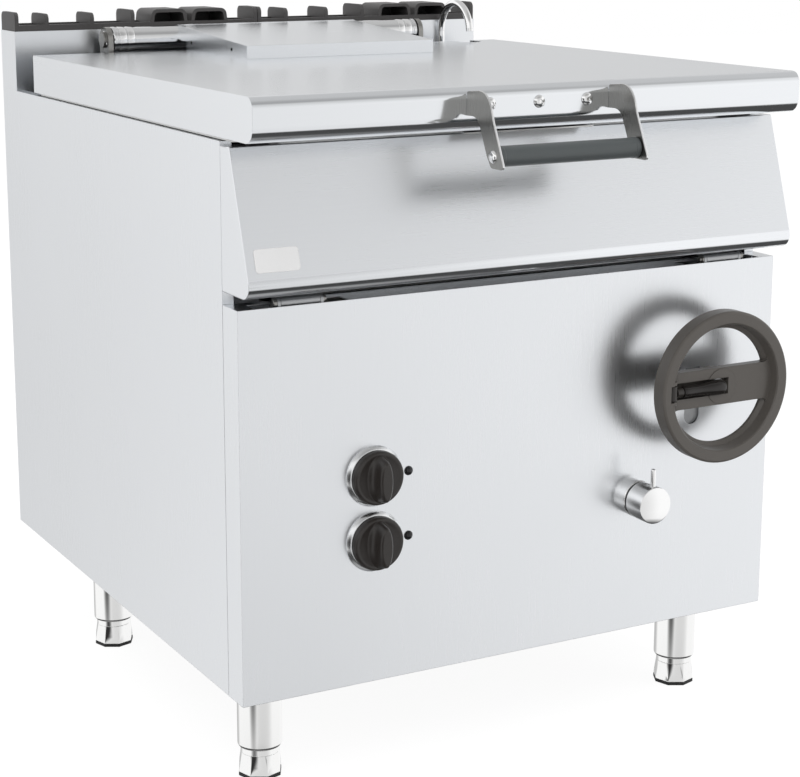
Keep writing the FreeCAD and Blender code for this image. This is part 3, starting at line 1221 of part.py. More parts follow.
def tilt_gearbox():
    """The closed worm gearbox on its pedestal, with bores for the wheel shaft and the cross shaft."""
    y0 = PINION_Y - GEARBOX_HALF_DEPTH
    y1 = PINION_Y + GEARBOX_HALF_DEPTH
    low = WHEEL_Z - GEARBOX_BELOW_WHEEL
    case = box(GEARBOX_X0, GEARBOX_X1, y0, y1, low, PINION_Z + GEARBOX_ABOVE_SHAFT)
    case = round_edges(case, GEARBOX_CORNER, lambda e, c: along(e, 0))
    drum_end = GEARBOX_X1 + GEARBOX_DRUM_REACH
    drum = rod((GEARBOX_X0, PINION_Y, PINION_Z), (drum_end, PINION_Y, PINION_Z), GEARBOX_DRUM_RADIUS)
    snout = rod((WHEEL_X, y0 - GEARBOX_SNOUT, WHEEL_Z), (WHEEL_X, y0, WHEEL_Z), GEARBOX_SNOUT_RADIUS)
    body = case.fuse(drum).fuse(snout).fuse(gearbox_pedestal(y0, y1, low))
    shaft_bore = rod((WHEEL_X, y0 - GEARBOX_SNOUT - 1, WHEEL_Z), (WHEEL_X, PINION_Y + SHAFT_ENGAGEMENT + 2, WHEEL_Z),
                     SHAFT_RADIUS + RUNNING_CLEARANCE)
    cross_bore = rod((GEARBOX_X1 - CROSS_ENGAGEMENT - 1, PINION_Y, PINION_Z), (drum_end + 1, PINION_Y, PINION_Z),
                     CROSS_SHAFT_RADIUS + RUNNING_CLEARANCE)
    return body.cut(shaft_bore).cut(cross_bore).removeSplitter()


def bearing_plate():
    """The plate behind the slot that carries the front of the wheel shaft."""
    y0 = PANEL_Y + SHEET + BEARING_PLATE_GAP
    y1 = y0 + BEARING_PLATE
    low = WHEEL_Z - SLOT_BELOW_SHAFT - BEARING_MARGIN
    high = WHEEL_Z + SLOT_ABOVE_SHAFT + BEARING_MARGIN
    left = WHEEL_X - SLOT_WIDTH / 2 - BEARING_MARGIN
    boss_end = y1 + BEARING_BOSS
    plate = box(left, POST_INNER_X, y0, y1, low, high)
    boss = rod((WHEEL_X, y1, WHEEL_Z), (WHEEL_X, boss_end, WHEEL_Z), BEARING_BOSS_RADIUS)
    fold = box(POST_INNER_X - BEARING_PLATE, POST_INNER_X, y0, TILT_Y + BEARING_MARGIN, low, high)
    bore = rod((WHEEL_X, y0 - 1, WHEEL_Z), (WHEEL_X, boss_end + 1, WHEEL_Z), SHAFT_RADIUS + RUNNING_CLEARANCE)
    return plate.fuse(boss).fuse(fold).cut(bore).removeSplitter()


def wheel_rim():
    """The turned rim of the handwheel, with a flat front face and a flange behind."""
    outer = WHEEL_RADIUS
    inner = WHEEL_RADIUS - RIM_WIDTH
    front = WHEEL_FRONT_Y
    back = WHEEL_BACK_Y
    return turned_y([(inner, front + 1.5), (inner + 1.5, front), (outer - 3, front), (outer - 1, front + 1),
                     (outer, front + 3), (outer, back - 3), (outer - 3, back), (inner - 6, back),
                     (inner - 8, back - 2), (inner - 8, back - 6), (inner - 3, back - 10)], WHEEL_X, WHEEL_Z)


def spoke_fillets(spoke_back):
    """The four rounded corners between the spoke and the rim."""
    inner = WHEEL_RADIUS - RIM_WIDTH
    half = SPOKE_HEIGHT / 2
    radius = SPOKE_FILLET
    centre_z = half + radius
    centre_x = math.sqrt((inner - radius) ** 2 - centre_z ** 2)
    reach = inner / (inner - radius)
    touch_x = centre_x * reach
    touch_z = centre_z * reach
    corners = []
    for side_x in (-1, 1):
        for side_z in (-1, 1):
            points = [(centre_x, half - 1), (inner - 1, half - 1), (touch_x + 1, touch_z), (touch_x, touch_z),
                      (centre_x, centre_z)]
            outline = [(WHEEL_X + side_x * x, WHEEL_Z + side_z * z) for x, z in points]
            corner = plate_xz(outline, SPOKE_FRONT_Y, spoke_back)
            round_x = WHEEL_X + side_x * centre_x
            round_z = WHEEL_Z + side_z * centre_z
            corners.append(corner.cut(rod((round_x, SPOKE_FRONT_Y - 1, round_z), (round_x, spoke_back + 1, round_z),
                                          radius)))
    return corners


def handwheel():
    """The dished handwheel: a thick rim, one flat spoke, a hub with a raised face and a crank recess."""
    spoke_back = SPOKE_FRONT_Y + SPOKE_THICKNESS
    half = SPOKE_HEIGHT / 2
    reach = WHEEL_RADIUS - RIM_WIDTH - 1
    wheel = box(WHEEL_X - reach, WHEEL_X + reach, SPOKE_FRONT_Y, spoke_back, WHEEL_Z - half, WHEEL_Z + half)
    wheel = wheel.fuse(wheel_rim())
    for corner in spoke_fillets(spoke_back):
        wheel = wheel.fuse(corner)
    hub_end = WHEEL_BACK_Y + HUB_LENGTH
    wheel = wheel.fuse(rod((WHEEL_X, SPOKE_FRONT_Y, WHEEL_Z), (WHEEL_X, hub_end, WHEEL_Z), HUB_RADIUS))
    face = rod((WHEEL_X, SPOKE_FRONT_Y - HUB_FACE, WHEEL_Z), (WHEEL_X, SPOKE_FRONT_Y, WHEEL_Z), HUB_FACE_RADIUS)
    floor_y = SPOKE_FRONT_Y + CRANK_RECESS
    slot = CRANK_SLOT / 2
    recess = box(PIVOT_X - CRANK_EYE_RADIUS - 1.5, WHEEL_X + slot, WHEEL_FRONT_Y - 1, floor_y,
                 WHEEL_Z - slot, WHEEL_Z + slot)
    wheel = wheel.fuse(face).cut(recess)
    for ear in crank_ears():
        wheel = wheel.fuse(ear)
    bore = rod((WHEEL_X, floor_y, WHEEL_Z), (WHEEL_X, hub_end + 1, WHEEL_Z), SHAFT_RADIUS)
    return wheel.cut(bore).removeSplitter()


def crank_ears():
    """The pin that the crank folds on and the two ears that hold it."""
    slot = CRANK_SLOT / 2
    half_pin = slot + 2
    ears = [rod((PIVOT_X, PIVOT_Y, WHEEL_Z - half_pin), (PIVOT_X, PIVOT_Y, WHEEL_Z + half_pin), CRANK_PIN_RADIUS)]
    radius = CRANK_EYE_RADIUS - 0.5
    for side in (-1, 1):
        z0 = WHEEL_Z + side * slot
        z1 = z0 + side * CRANK_EAR
        ears.append(rod((PIVOT_X, PIVOT_Y, z0), (PIVOT_X, PIVOT_Y, z1), radius))
        ears.append(box(PIVOT_X - radius, PIVOT_X + radius, PIVOT_Y, SPOKE_FRONT_Y, min(z0, z1), max(z0, z1)))
    return ears


def wheel_shaft():
    """The wheel shaft from the hub to the worm gearbox."""
    return rod((WHEEL_X, SPOKE_FRONT_Y + CRANK_RECESS, WHEEL_Z), (WHEEL_X, PINION_Y + SHAFT_ENGAGEMENT, WHEEL_Z),
               SHAFT_RADIUS)


def crank_holder():
    """The folding stub of the crank grip: an eye round the pin and a spindle for the grip."""
    half = CRANK_SLOT / 2 - 1
    neck_end = PIVOT_X + CRANK_NECK
    eye = rod((PIVOT_X, PIVOT_Y, WHEEL_Z - half), (PIVOT_X, PIVOT_Y, WHEEL_Z + half), CRANK_EYE_RADIUS)
    neck = rod((PIVOT_X, PIVOT_Y, WHEEL_Z), (neck_end, PIVOT_Y, WHEEL_Z), CRANK_EYE_RADIUS - 0.5)
    spindle = rod((neck_end, PIVOT_Y, WHEEL_Z), (neck_end + 64, PIVOT_Y, WHEEL_Z), CRANK_SPINDLE)
    bore = rod((PIVOT_X, PIVOT_Y, WHEEL_Z - CRANK_SLOT), (PIVOT_X, PIVOT_Y, WHEEL_Z + CRANK_SLOT),
               CRANK_PIN_RADIUS + RUNNING_CLEARANCE)
    return eye.fuse(neck).fuse(spindle).cut(bore).removeSplitter()


def crank_grip():
    """The waisted grip that spins on the holder's spindle."""
    start = PIVOT_X + CRANK_NECK + CRANK_GRIP_GAP
    bore = CRANK_SPINDLE + RUNNING_CLEARANCE
    profile = [(bore, 0), (6.8, 0), (7.6, 3), (7.4, 18), (8.2, 34), (9.8, 48), (10.4, 56), (10.2, 62), (8.8, 67),
               (5.5, 69), (0, 69), (0, 65), (bore, 65)]
    outline = [Vector(start + x, PIVOT_Y + radius, WHEEL_Z) for radius, x in profile]
    return turned(outline, (0, PIVOT_Y, WHEEL_Z), Vector(1, 0, 0))


# Controls
def knob_bezel(z):
    """The bevelled steel ring behind a knob."""
    inner = KNOB_RADIUS - BEZEL_SLOPE * 2
    face = PANEL_Y - BEZEL_HEIGHT
    return turned_y([(inner, PANEL_Y), (BEZEL_RADIUS, PANEL_Y), (BEZEL_RADIUS, PANEL_Y - BEZEL_EDGE),
                     (BEZEL_RADIUS - BEZEL_SLOPE, face), (inner, face)], KNOB_X, z)


def knob(z):
    """A control knob: a round skirt with a tall grip ridge between two hollowed flanks."""
    back = KNOB_BACK_Y
    skirt_y = back - KNOB_SKIRT
    front = back - KNOB_HEIGHT
    shoulder = KNOB_RADIUS - 3
    skirt = turned_y([(0, back), (KNOB_RADIUS, back), (KNOB_RADIUS, skirt_y + 5), (shoulder, skirt_y),
                      (0, skirt_y)], KNOB_X, z)
    crown = turned_y([(0, skirt_y + 6), (shoulder, skirt_y + 6), (shoulder - 3, front), (0, front)], KNOB_X, z)
    for side in (-1, 1):
        x = KNOB_X + side * KNOB_HOLLOW_OFFSET
        crown = crown.cut(rod((x, front - 1, z), (x, skirt_y, z), KNOB_HOLLOW_RADIUS))
    socket = rod((KNOB_X, back + 1, z), (KNOB_X, back - KNOB_SOCKET, z), KNOB_STEM_RADIUS)
    return skirt.fuse(crown).cut(socket).removeSplitter()


def knob_stem(z):
    """The turning stem between a knob and its control."""
    return rod((KNOB_X, KNOB_BACK_Y - KNOB_SOCKET, z), (KNOB_X, PANEL_Y + 22, z), KNOB_STEM_RADIUS)


def control_body(z):
    """A control behind the panel, with a flange and a bore for the stem."""
    y0 = PANEL_Y + SHEET
    y1 = y0 + CONTROL_FLANGE
    half = CONTROL_WIDTH / 2
    flange = box(KNOB_X - half + 2, KNOB_X + half - 2, y0, y1, z - half + 6, z + half - 6)
    body = box(KNOB_X - half, KNOB_X + half, y1, y0 + CONTROL_LENGTH, z - half, z + half)
    body = round_edges(body, CONTROL_CORNER, lambda e, c: along(e, 1))
    bore = rod((KNOB_X, y0 - 1, z), (KNOB_X, PANEL_Y + 24, z), KNOB_STEM_RADIUS + RUNNING_CLEARANCE)
    return flange.fuse(body).cut(bore).removeSplitter()


def indicator_lamps():
    """Two small domed lamps beside the knobs."""
    lamps = []
    x = KNOB_X + LAMP_OFFSET
    front = PANEL_Y - LAMP_HEIGHT
    for z in (KNOB_UPPER_Z, KNOB_LOWER_Z):
        stem = rod((x, PANEL_Y, z), (x, PANEL_Y + 18, z), LAMP_STEM)
        dome = rod((x, front, z), (x, PANEL_Y, z), LAMP_RADIUS)
        dome = round_edges(dome, LAMP_RADIUS / 2, lambda e, c: c.y < front + 1)
        lamps.append(stem.fuse(dome))
    return Part.makeCompound(lamps)


def tap_body():
    """The tap's fixed body: a collar on the panel and a valve housing behind it."""
    bore = TAP_STEM + RUNNING_CLEARANCE
    collar_y = PANEL_Y - TAP_BASE
    valve_y = PANEL_Y + 10
    stub_y = PANEL_Y + TAP_STUB_SETBACK
    collar = ring((TAP_X, collar_y, TAP_Z), (TAP_X, PANEL_Y, TAP_Z), TAP_RADIUS, bore)
    collar = round_edges(collar, 1.5, lambda e, c: c.y < collar_y + 1 and e.Curve.TypeId == "Part::GeomCircle"
                         and e.Curve.Radius > bore + 1)
    neck = ring((TAP_X, PANEL_Y, TAP_Z), (TAP_X, valve_y, TAP_Z), TAP_NECK - LUG_GAP, bore)
    valve = rod((TAP_X, valve_y, TAP_Z), (TAP_X, PANEL_Y + TAP_VALVE_END, TAP_Z), TAP_VALVE_RADIUS)
    stubs = rod((TAP_X, stub_y, TAP_Z - TAP_STUB_REACH), (TAP_X, stub_y, TAP_Z + TAP_STUB_REACH), TAP_STUB_RADIUS)
    body = collar.fuse(neck).fuse(valve).fuse(stubs)
    stem_bore = rod((TAP_X, PANEL_Y - 1, TAP_Z), (TAP_X, PANEL_Y + 32, TAP_Z), bore)
    return body.cut(stem_bore).removeSplitter()


def tap_cap():
    """The turning cap of the tap with its short lever pin and its stem."""
    back = PANEL_Y - TAP_BASE - TAP_CAP_GAP
    front = PANEL_Y - TAP_LENGTH
    cap = rod((TAP_X, front, TAP_Z), (TAP_X, back, TAP_Z), TAP_RADIUS)
    cap = round_edges(cap, 1.2, lambda e, c: c.y < front + 1 and e.Curve.TypeId == "Part::GeomCircle")
    stem = rod((TAP_X, back, TAP_Z), (TAP_X, PANEL_Y + 30, TAP_Z), TAP_STEM)
    lever_y = front + LEVER_SETBACK
    lever_foot = TAP_Z + TAP_RADIUS - LEVER_RADIUS
    lever = rod((TAP_X, lever_y, lever_foot), (TAP_X, lever_y, TAP_Z + TAP_RADIUS + LEVER_LENGTH), LEVER_RADIUS)
    return cap.fuse(stem).fuse(lever).removeSplitter()


# Heating


def burner_places():
    """The middle line of each burner tube across the chamber."""
    middle = (BURNER_COUNT - 1) / 2
    return [(index - middle) * BURNER_PITCH for index in range(BURNER_COUNT)]


def combustion_chamber():
    """The open-topped fire box with burner holes in front and a flue window behind."""
    wall = CHAMBER_WALL
    outer = box(-CHAMBER_HALF_WIDTH, CHAMBER_HALF_WIDTH, CHAMBER_FRONT_Y, CHAMBER_REAR_Y,
                CHAMBER_FLOOR, CHAMBER_TOP)
    inner = box(-CHAMBER_HALF_WIDTH + wall, CHAMBER_HALF_WIDTH - wall, CHAMBER_FRONT_Y + wall,
                CHAMBER_REAR_Y - wall, CHAMBER_FLOOR + wall, CHAMBER_TOP + 1)
    chamber = outer.cut(inner)
    for x in burner_places():
        hole = rod((x, CHAMBER_FRONT_Y - 1, BURNER_Z), (x, CHAMBER_FRONT_Y + wall + 1, BURNER_Z), BURNER_RADIUS)
        slot = box(x + 40, x + 70, CHAMBER_FRONT_Y + 60, CHAMBER_REAR_Y - 60, CHAMBER_FLOOR - 1,
                   CHAMBER_FLOOR + wall + 1)
        chamber = chamber.cut(hole).cut(slot)
    window = box(-FLUE_HALF_WIDTH, FLUE_HALF_WIDTH, CHAMBER_REAR_Y - wall - 1, CHAMBER_REAR_Y + 1,
                 FLUE_SLEEVE_BOTTOM, FLUE_SLEEVE_TOP)
    chamber = chamber.cut(window)
    for y in (CHAMBER_FRONT_Y + STAND_INSET, CHAMBER_REAR_Y - STAND_INSET - STAND_WIDTH):
        chamber = chamber.fuse(chamber_stand(y))
    return chamber.removeSplitter()


def chamber_stand(y):
    """A cross stand that carries the fire box on the frame rails."""
    end = CHAMBER_HALF_WIDTH - STAND_WIDTH / 2
    leg_x = end - STAND_WIDTH / 2
    y1 = y + STAND_WIDTH
    stand = box(-end, end, y, y1, CHAMBER_FLOOR - STAND_SHEET, CHAMBER_FLOOR)
    leg = box(leg_x, end, y, y1, FRAME_TOP, CHAMBER_FLOOR)
    foot = box(leg_x, end + STAND_FOOT, y, y1, FRAME_TOP, FRAME_TOP + STAND_SHEET)
    for piece in (leg, foot):
        stand = stand.fuse(piece).fuse(mirrored(piece))
    return stand


def burner_tubes():
    """Four burner tubes with flame slots along the top and an open mixing mouth in front."""
    tubes = []
    y0 = CHAMBER_FRONT_Y - 14
    y1 = CHAMBER_REAR_Y - 40
    first = CHAMBER_FRONT_Y + 50
    pitch = (y1 - 40 - first) / (BURNER_SLOTS - 1)
    for x in burner_places():
        tube = rod((x, y0, BURNER_Z), (x, y1, BURNER_Z), BURNER_RADIUS)
        tube = tube.cut(rod((x, y0 - 1, BURNER_Z), (x, y1 - 3, BURNER_Z), BURNER_RADIUS - BURNER_WALL))
        for index in range(BURNER_SLOTS):
            y = first + index * pitch
            tube = tube.cut(box(x - 9, x + 9, y, y + 6, BURNER_Z + 10, BURNER_Z + 30))
        tubes.append(tube)
    return Part.makeCompound(tubes)


def flue_sleeve():
    """The flat duct from the fire box to the flue column."""
    wall = SLEEVE_WALL
    outer = box(-FLUE_HALF_WIDTH, FLUE_HALF_WIDTH, CHAMBER_REAR_Y, COLUMN_Y, FLUE_SLEEVE_BOTTOM, FLUE_SLEEVE_TOP)
    inner = box(-FLUE_HALF_WIDTH + wall, FLUE_HALF_WIDTH - wall, CHAMBER_REAR_Y - 1, COLUMN_Y + 1,
                FLUE_SLEEVE_BOTTOM + wall, FLUE_SLEEVE_TOP - wall)
    return outer.cut(inner)


def gas_manifold():
    """The gas bar in front of the burners, with an injector for each."""
    end = burner_places()[-1] + 2 * MANIFOLD_RADIUS
    bar = rod((-end, MANIFOLD_Y, BURNER_Z), (end, MANIFOLD_Y, BURNER_Z), MANIFOLD_RADIUS)
    for x in burner_places():
        bar = bar.fuse(rod((x, MANIFOLD_Y, BURNER_Z), (x, MANIFOLD_Y + INJECTOR_LENGTH, BURNER_Z), INJECTOR_RADIUS))
    return bar


def pipe(points, radius, bend):
    """A solid pipe along straight runs with a round bend at each corner."""
    corners = [Vector(*point) for point in points]
    edges = []
    start = corners[0]
    for before, corner, after in zip(corners[:-2], corners[1:-1], corners[2:]):
        back = (before - corner).normalize()
        ahead = (after - corner).normalize()
        entry = corner + back * bend
        leave = corner + ahead * bend
        middle = corner + (back + ahead) * (bend - bend / math.sqrt(2))
        edges.append(Part.LineSegment(start, entry).toShape())
        edges.append(Part.Arc(entry, middle, leave).toShape())
        start = leave
    edges.append(Part.LineSegment(start, corners[-1]).toShape())
    wire = Part.Wire(edges)
    direction = (corners[1] - corners[0]).normalize()
    circle = Part.Wire(Part.makeCircle(radius, corners[0], direction))
    return wire.makePipeShell([circle], True, False)


def gas_pipes():
    """The gas pipes from the rear thread through the two controls to the manifold."""
    half = CONTROL_WIDTH / 2
    control_y = PANEL_Y + SHEET + CONTROL_FLANGE + half + 1
    back_y = control_y + 60
    supply = pipe([(GAS_INLET_X, INLET_Y, INLET_BOTTOM), (GAS_INLET_X, INLET_Y, INLET_Z),
                   (GAS_INLET_X, back_y, INLET_Z), (KNOB_X, back_y, INLET_Z), (KNOB_X, control_y, INLET_Z),
                   (KNOB_X, control_y, KNOB_LOWER_Z - half)], PIPE_RADIUS, PIPE_BEND)
    thread = rod((GAS_INLET_X, INLET_Y, INLET_BOTTOM), (GAS_INLET_X, INLET_Y, INLET_BOTTOM + THREAD_LENGTH),
                 THREAD_RADIUS)
    turn_z = BURNER_Z - 60
    feed_x = KNOB_X + 30
    feed = pipe([(KNOB_X, control_y, KNOB_UPPER_Z + half), (KNOB_X, control_y, turn_z), (feed_x, control_y, turn_z),
                 (feed_x, MANIFOLD_Y, turn_z), (feed_x, MANIFOLD_Y, BURNER_Z - 4)], FEED_RADIUS, FEED_BEND)
    bar = rod((feed_x - 20, MANIFOLD_Y, BURNER_Z), (feed_x + 20, MANIFOLD_Y, BURNER_Z), MANIFOLD_RADIUS)
    link = rod((KNOB_X, control_y, KNOB_LOWER_Z + half), (KNOB_X, control_y, KNOB_UPPER_Z - half), FEED_RADIUS)
    return Part.makeCompound([supply.fuse(thread), feed.cut(bar), link])


def water_spout():
    """The swan-neck spout: a riser before the flue column, a half-round bend and a short outlet."""
    base = DECK_Z - DECK_SOCKET
    riser = rod((SPOUT_X, SPOUT_Y, base), (SPOUT_X, SPOUT_Y, SPOUT_TOP_Z), SPOUT_RADIUS)
    centre = Vector(SPOUT_X, SPOUT_Y - SPOUT_BEND, SPOUT_TOP_Z)
    sweep = math.radians(SPOUT_SWEEP)
    middle = centre + Vector(0, math.cos(sweep / 2), math.sin(sweep / 2)) * SPOUT_BEND
    end = centre + Vector(0, math.cos(sweep), math.sin(sweep)) * SPOUT_BEND
    tangent = Vector(0, -math.sin(sweep), math.cos(sweep))
    start = Vector(SPOUT_X, SPOUT_Y, SPOUT_TOP_Z)
    arc = Part.Wire([Part.Arc(start, middle, end).toShape()])
    circle = Part.Wire(Part.makeCircle(SPOUT_RADIUS, start, Vector(0, 0, 1)))
    bend = arc.makePipeShell([circle], True, False)
    outlet = Part.makeCylinder(SPOUT_RADIUS, SPOUT_OUTLET, end, tangent)
    mouth = Part.makeCylinder(SPOUT_BORE, DECK_SOCKET, end + tangent * (SPOUT_OUTLET + 0.5), tangent * -1)
    return riser.fuse(bend).fuse(outlet).cut(mouth).removeSplitter()


def rear_deck():
    """The sheet behind the pan that ties the side panels to the flue column and holds the spout."""
    half = HALF_WIDTH - SHEET
    y0 = VESSEL_REAR_Y + BEAM_DEPTH + DECK_GAP
    deck = box(-half, half, y0, COLUMN_Y, DECK_Z - SHEET, DECK_Z)
    lip = box(-half, half, y0, y0 + SHEET, DECK_Z - DECK_LIP, DECK_Z)
    hole = rod((SPOUT_X, SPOUT_Y, DECK_Z - DECK_LIP), (SPOUT_X, SPOUT_Y, DECK_Z + SHEET), SPOUT_RADIUS)
    return deck.fuse(lip).cut(hole).removeSplitter()


def water_pipes():
    """The water supply from the rear thread to the tap, and the pipe from the tap to the spout."""
    tap_y = PANEL_Y + TAP_STUB_SETBACK
    low = TAP_Z - TAP_STUB_REACH
    high = TAP_Z + TAP_STUB_REACH
    run_z = high + 50
    supply = pipe([(WATER_INLET_X, INLET_Y, INLET_BOTTOM), (WATER_INLET_X, INLET_Y, INLET_Z),
                   (TAP_X, INLET_Y, INLET_Z), (TAP_X, tap_y, INLET_Z), (TAP_X, tap_y, low)],
                  PIPE_RADIUS, PIPE_BEND)
    thread = rod((WATER_INLET_X, INLET_Y, INLET_BOTTOM),
                 (WATER_INLET_X, INLET_Y, INLET_BOTTOM + THREAD_LENGTH), THREAD_RADIUS)
    riser = pipe([(TAP_X, tap_y, high), (TAP_X, tap_y, run_z), (TAP_X, SPOUT_Y, run_z),
                  (SPOUT_X, SPOUT_Y, run_z), (SPOUT_X, SPOUT_Y, DECK_Z - DECK_SOCKET)], SPOUT_RADIUS, RISER_BEND)
    return Part.makeCompound([supply.fuse(thread), riser])


# Legs
def leg_places():
    """The middle of each leg, in the order front left, front right, rear left, rear right."""
    return [(x, y) for y in (FRONT_LEG_Y, REAR_LEG_Y) for x in (-LEG_X, LEG_X)]


def leg_tubes():
    """Four leg tubes with their square head plates."""
    legs = []
    plate_z = FRAME_BOTTOM - LEG_PLATE_THICKNESS
    collar_top = LEG_BOTTOM + LEG_COLLAR
    half = LEG_PLATE / 2
    for x, y in leg_places():
        tube = ring((x, y, collar_top), (x, y, plate_z), LEG_RADIUS, LEG_RADIUS - LEG_WALL)
        plate = box(x - half, x + half, y - half, y + half, plate_z, FRAME_BOTTOM)
        plate = round_edges(plate, LEG_PLATE_CORNER, lambda e, c: along(e, 2))
        collar = ring((x, y, LEG_BOTTOM), (x, y, collar_top), LEG_RADIUS, FOOT_RADIUS + RUNNING_CLEARANCE)
        collar = round_edges(collar, LEG_EDGE, lambda e, c: c.z < LEG_BOTTOM + 1
                             and e.Curve.TypeId == "Part::GeomCircle" and abs(e.Curve.Radius - LEG_RADIUS) < 0.1)
        legs.append(tube.fuse(collar).fuse(plate).removeSplitter())
    return Part.makeCompound(legs)


def octagon(x, y, across, z0, z1):
    """An eight-sided prism, measured across its flats."""
    radius = across / 2 / math.cos(math.pi / 8)
    corners = []
    for index in range(9):
        angle = math.pi / 8 + index * math.pi / 4
        corners.append(Vector(x + radius * math.cos(angle), y + radius * math.sin(angle), z0))
    return Part.Face(Part.makePolygon(corners)).extrude(Vector(0, 0, z1 - z0))


def leg_foot(x, y):
    """One adjustable foot: a round insert whose eight flats flare out to a pad."""
    flare_top = PAD_THICKNESS + FOOT_FLARE
    insert_top = LEG_BOTTOM + FOOT_TRAVEL + FOOT_HEAD
    stem_top = FRAME_BOTTOM - LEG_PLATE_THICKNESS - FOOT_STOP_GAP
    cone = Part.makeCone(FOOT_FLARE_RADIUS, FOOT_RADIUS, FOOT_FLARE, Vector(x, y, PAD_THICKNESS))
    flare = cone.common(octagon(x, y, FOOT_OCTAGON, PAD_THICKNESS, flare_top))
    insert = rod((x, y, flare_top), (x, y, insert_top), FOOT_RADIUS)
    stem = rod((x, y, insert_top), (x, y, stem_top), STEM_RADIUS)
    foot = flare.fuse(insert).fuse(stem).removeSplitter()
    return Part.makeCompound([foot, octagon(x, y, PAD_OCTAGON, 0, PAD_THICKNESS)])


def main():
    """Build every piece and write it."""
    save("left_side_panel", side_panel())
    save("right_side_panel", mirrored(side_panel()))
    save("front_panel", front_panel())
    save("rear_panel", rear_panel())
    save("rear_deck", rear_deck())
    save("base_frame", base_frame())
    save("hinge_posts", both_sides(hinge_post()))
    save("tilt_pins", both_sides(tilt_pin()))
    save("flue_column", flue_column())
    save("flue_grid_left", flue_grid())
    grid_right = flue_grid()
    grid_right.translate(Vector(HALF_WIDTH - GRID_SPLIT, 0, 0))
    save("flue_grid_right", grid_right)
    save("flue_sleeve", flue_sleeve())
    save("combustion_chamber", combustion_chamber())
    save("burner_tubes", burner_tubes())
    save("gas_manifold", gas_manifold())
    save("gas_valve", control_body(KNOB_LOWER_Z))
    save("thermostat", control_body(KNOB_UPPER_Z))
    save("gas_pipes", gas_pipes())
    save("knob_bezels", Part.makeCompound([knob_bezel(KNOB_UPPER_Z), knob_bezel(KNOB_LOWER_Z)]))
    save("indicator_lamps", indicator_lamps())
    save("tap_body", tap_body())
    save("water_pipes", water_pipes())
    save("water_spout", water_spout())
    save("bearing_plate", bearing_plate())
    save("tilt_gearbox", tilt_gearbox())
    save("gear_carrier", gear_carrier())
    save("leg_tubes", leg_tubes())
    for (x, y), name in zip(leg_places(), ("front_left", "front_right", "rear_left", "rear_right")):
        save("foot_" + name, leg_foot(x, y))
    save("pan_vessel", pan_vessel())
    save("base_plate", base_plate())
    save("pan_jacket", pan_jacket())
    save("apron", apron())
    save("apron_rails", apron_rails())
    save("name_plate", name_plate())
    save("hinge_leaves", both_sides(hinge_leaf()))
    save("tilt_sector", tilt_sector())
    save("hinge_beam", hinge_beam())
    save("hinge_brackets", both_sides(bracket_with_journal()))
    save("lid_shell", lid_shell())
    save("lid_liner", lid_liner())
    save("hinge_cover", hinge_cover())
    save("hinge_tube", hinge_tube())
    save("tube_caps", both_sides(tube_cap()))
    save("handle_arms", handle_arms())
    save("handle_grip", handle_grip())
    save("grip_screws", grip_screws())
    save("nose_studs", nose_studs())
    save("handwheel", handwheel())
    save("wheel_shaft", wheel_shaft())
    save("crank_holder", crank_holder())
    save("crank_grip", crank_grip())
    save("cross_shaft", cross_shaft())
    save("drive_pinion", drive_pinion())
    save("idler_gear", idler_gear())
    save("thermostat_knob", knob(KNOB_UPPER_Z).fuse(knob_stem(KNOB_UPPER_Z)))
    save("gas_knob", knob(KNOB_LOWER_Z).fuse(knob_stem(KNOB_LOWER_Z)))
    save("tap_cap", tap_cap())


main()
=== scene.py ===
"""Tilting bratt pan: the looks of the unit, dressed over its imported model."""
import logging
import math
from dataclasses import dataclass
from enum import Enum
from typing import Any, Callable, Iterable, Optional, Sequence

import bmesh
import bpy
from mathutils import Matrix, Vector


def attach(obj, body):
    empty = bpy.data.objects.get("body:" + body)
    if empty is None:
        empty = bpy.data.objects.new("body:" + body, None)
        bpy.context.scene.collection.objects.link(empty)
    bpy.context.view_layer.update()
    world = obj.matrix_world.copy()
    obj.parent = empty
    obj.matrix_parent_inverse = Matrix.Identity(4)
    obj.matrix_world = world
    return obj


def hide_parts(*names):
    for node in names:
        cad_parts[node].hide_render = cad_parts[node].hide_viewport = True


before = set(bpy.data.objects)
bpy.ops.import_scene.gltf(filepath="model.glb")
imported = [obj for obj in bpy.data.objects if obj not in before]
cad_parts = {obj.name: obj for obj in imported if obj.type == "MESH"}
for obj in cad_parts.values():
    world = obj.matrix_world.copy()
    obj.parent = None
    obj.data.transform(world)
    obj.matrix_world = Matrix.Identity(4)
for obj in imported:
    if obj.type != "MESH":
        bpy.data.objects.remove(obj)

LOG = logging.getLogger("bratt_pan")
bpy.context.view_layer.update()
MM = 0.001

Point = tuple[float, float, float]
Pairs = Sequence[tuple[float, float]]
Mesh = bmesh.types.BMesh
Edge = bmesh.types.BMEdge
Face = bmesh.types.BMFace
Vert = bmesh.types.BMVert
Tree = bpy.types.NodeTree
Socket = bpy.types.NodeSocket


class Axis(Enum):
    """A direction of the unit's own frame."""

    X = (1.0, 0.0, 0.0)
    Y = (0.0, 1.0, 0.0)
    Z = (0.0, 0.0, 1.0)


class Body(Enum):
    """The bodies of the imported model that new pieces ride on."""

    CASING = "casing"
    PAN = "pan"
    LID = "lid"
    CRANK = "crank"
    SLEEVE = "crank_sleeve"
    THERMOSTAT = "thermostat_knob"
    GAS = "gas_knob"
    TAP = "tap_cap"
    FOOT_FRONT_LEFT = "foot_front_left"
    FOOT_FRONT_RIGHT = "foot_front_right"
    FOOT_REAR_LEFT = "foot_rear_left"
    FOOT_REAR_RIGHT = "foot_rear_right"


# Node trees


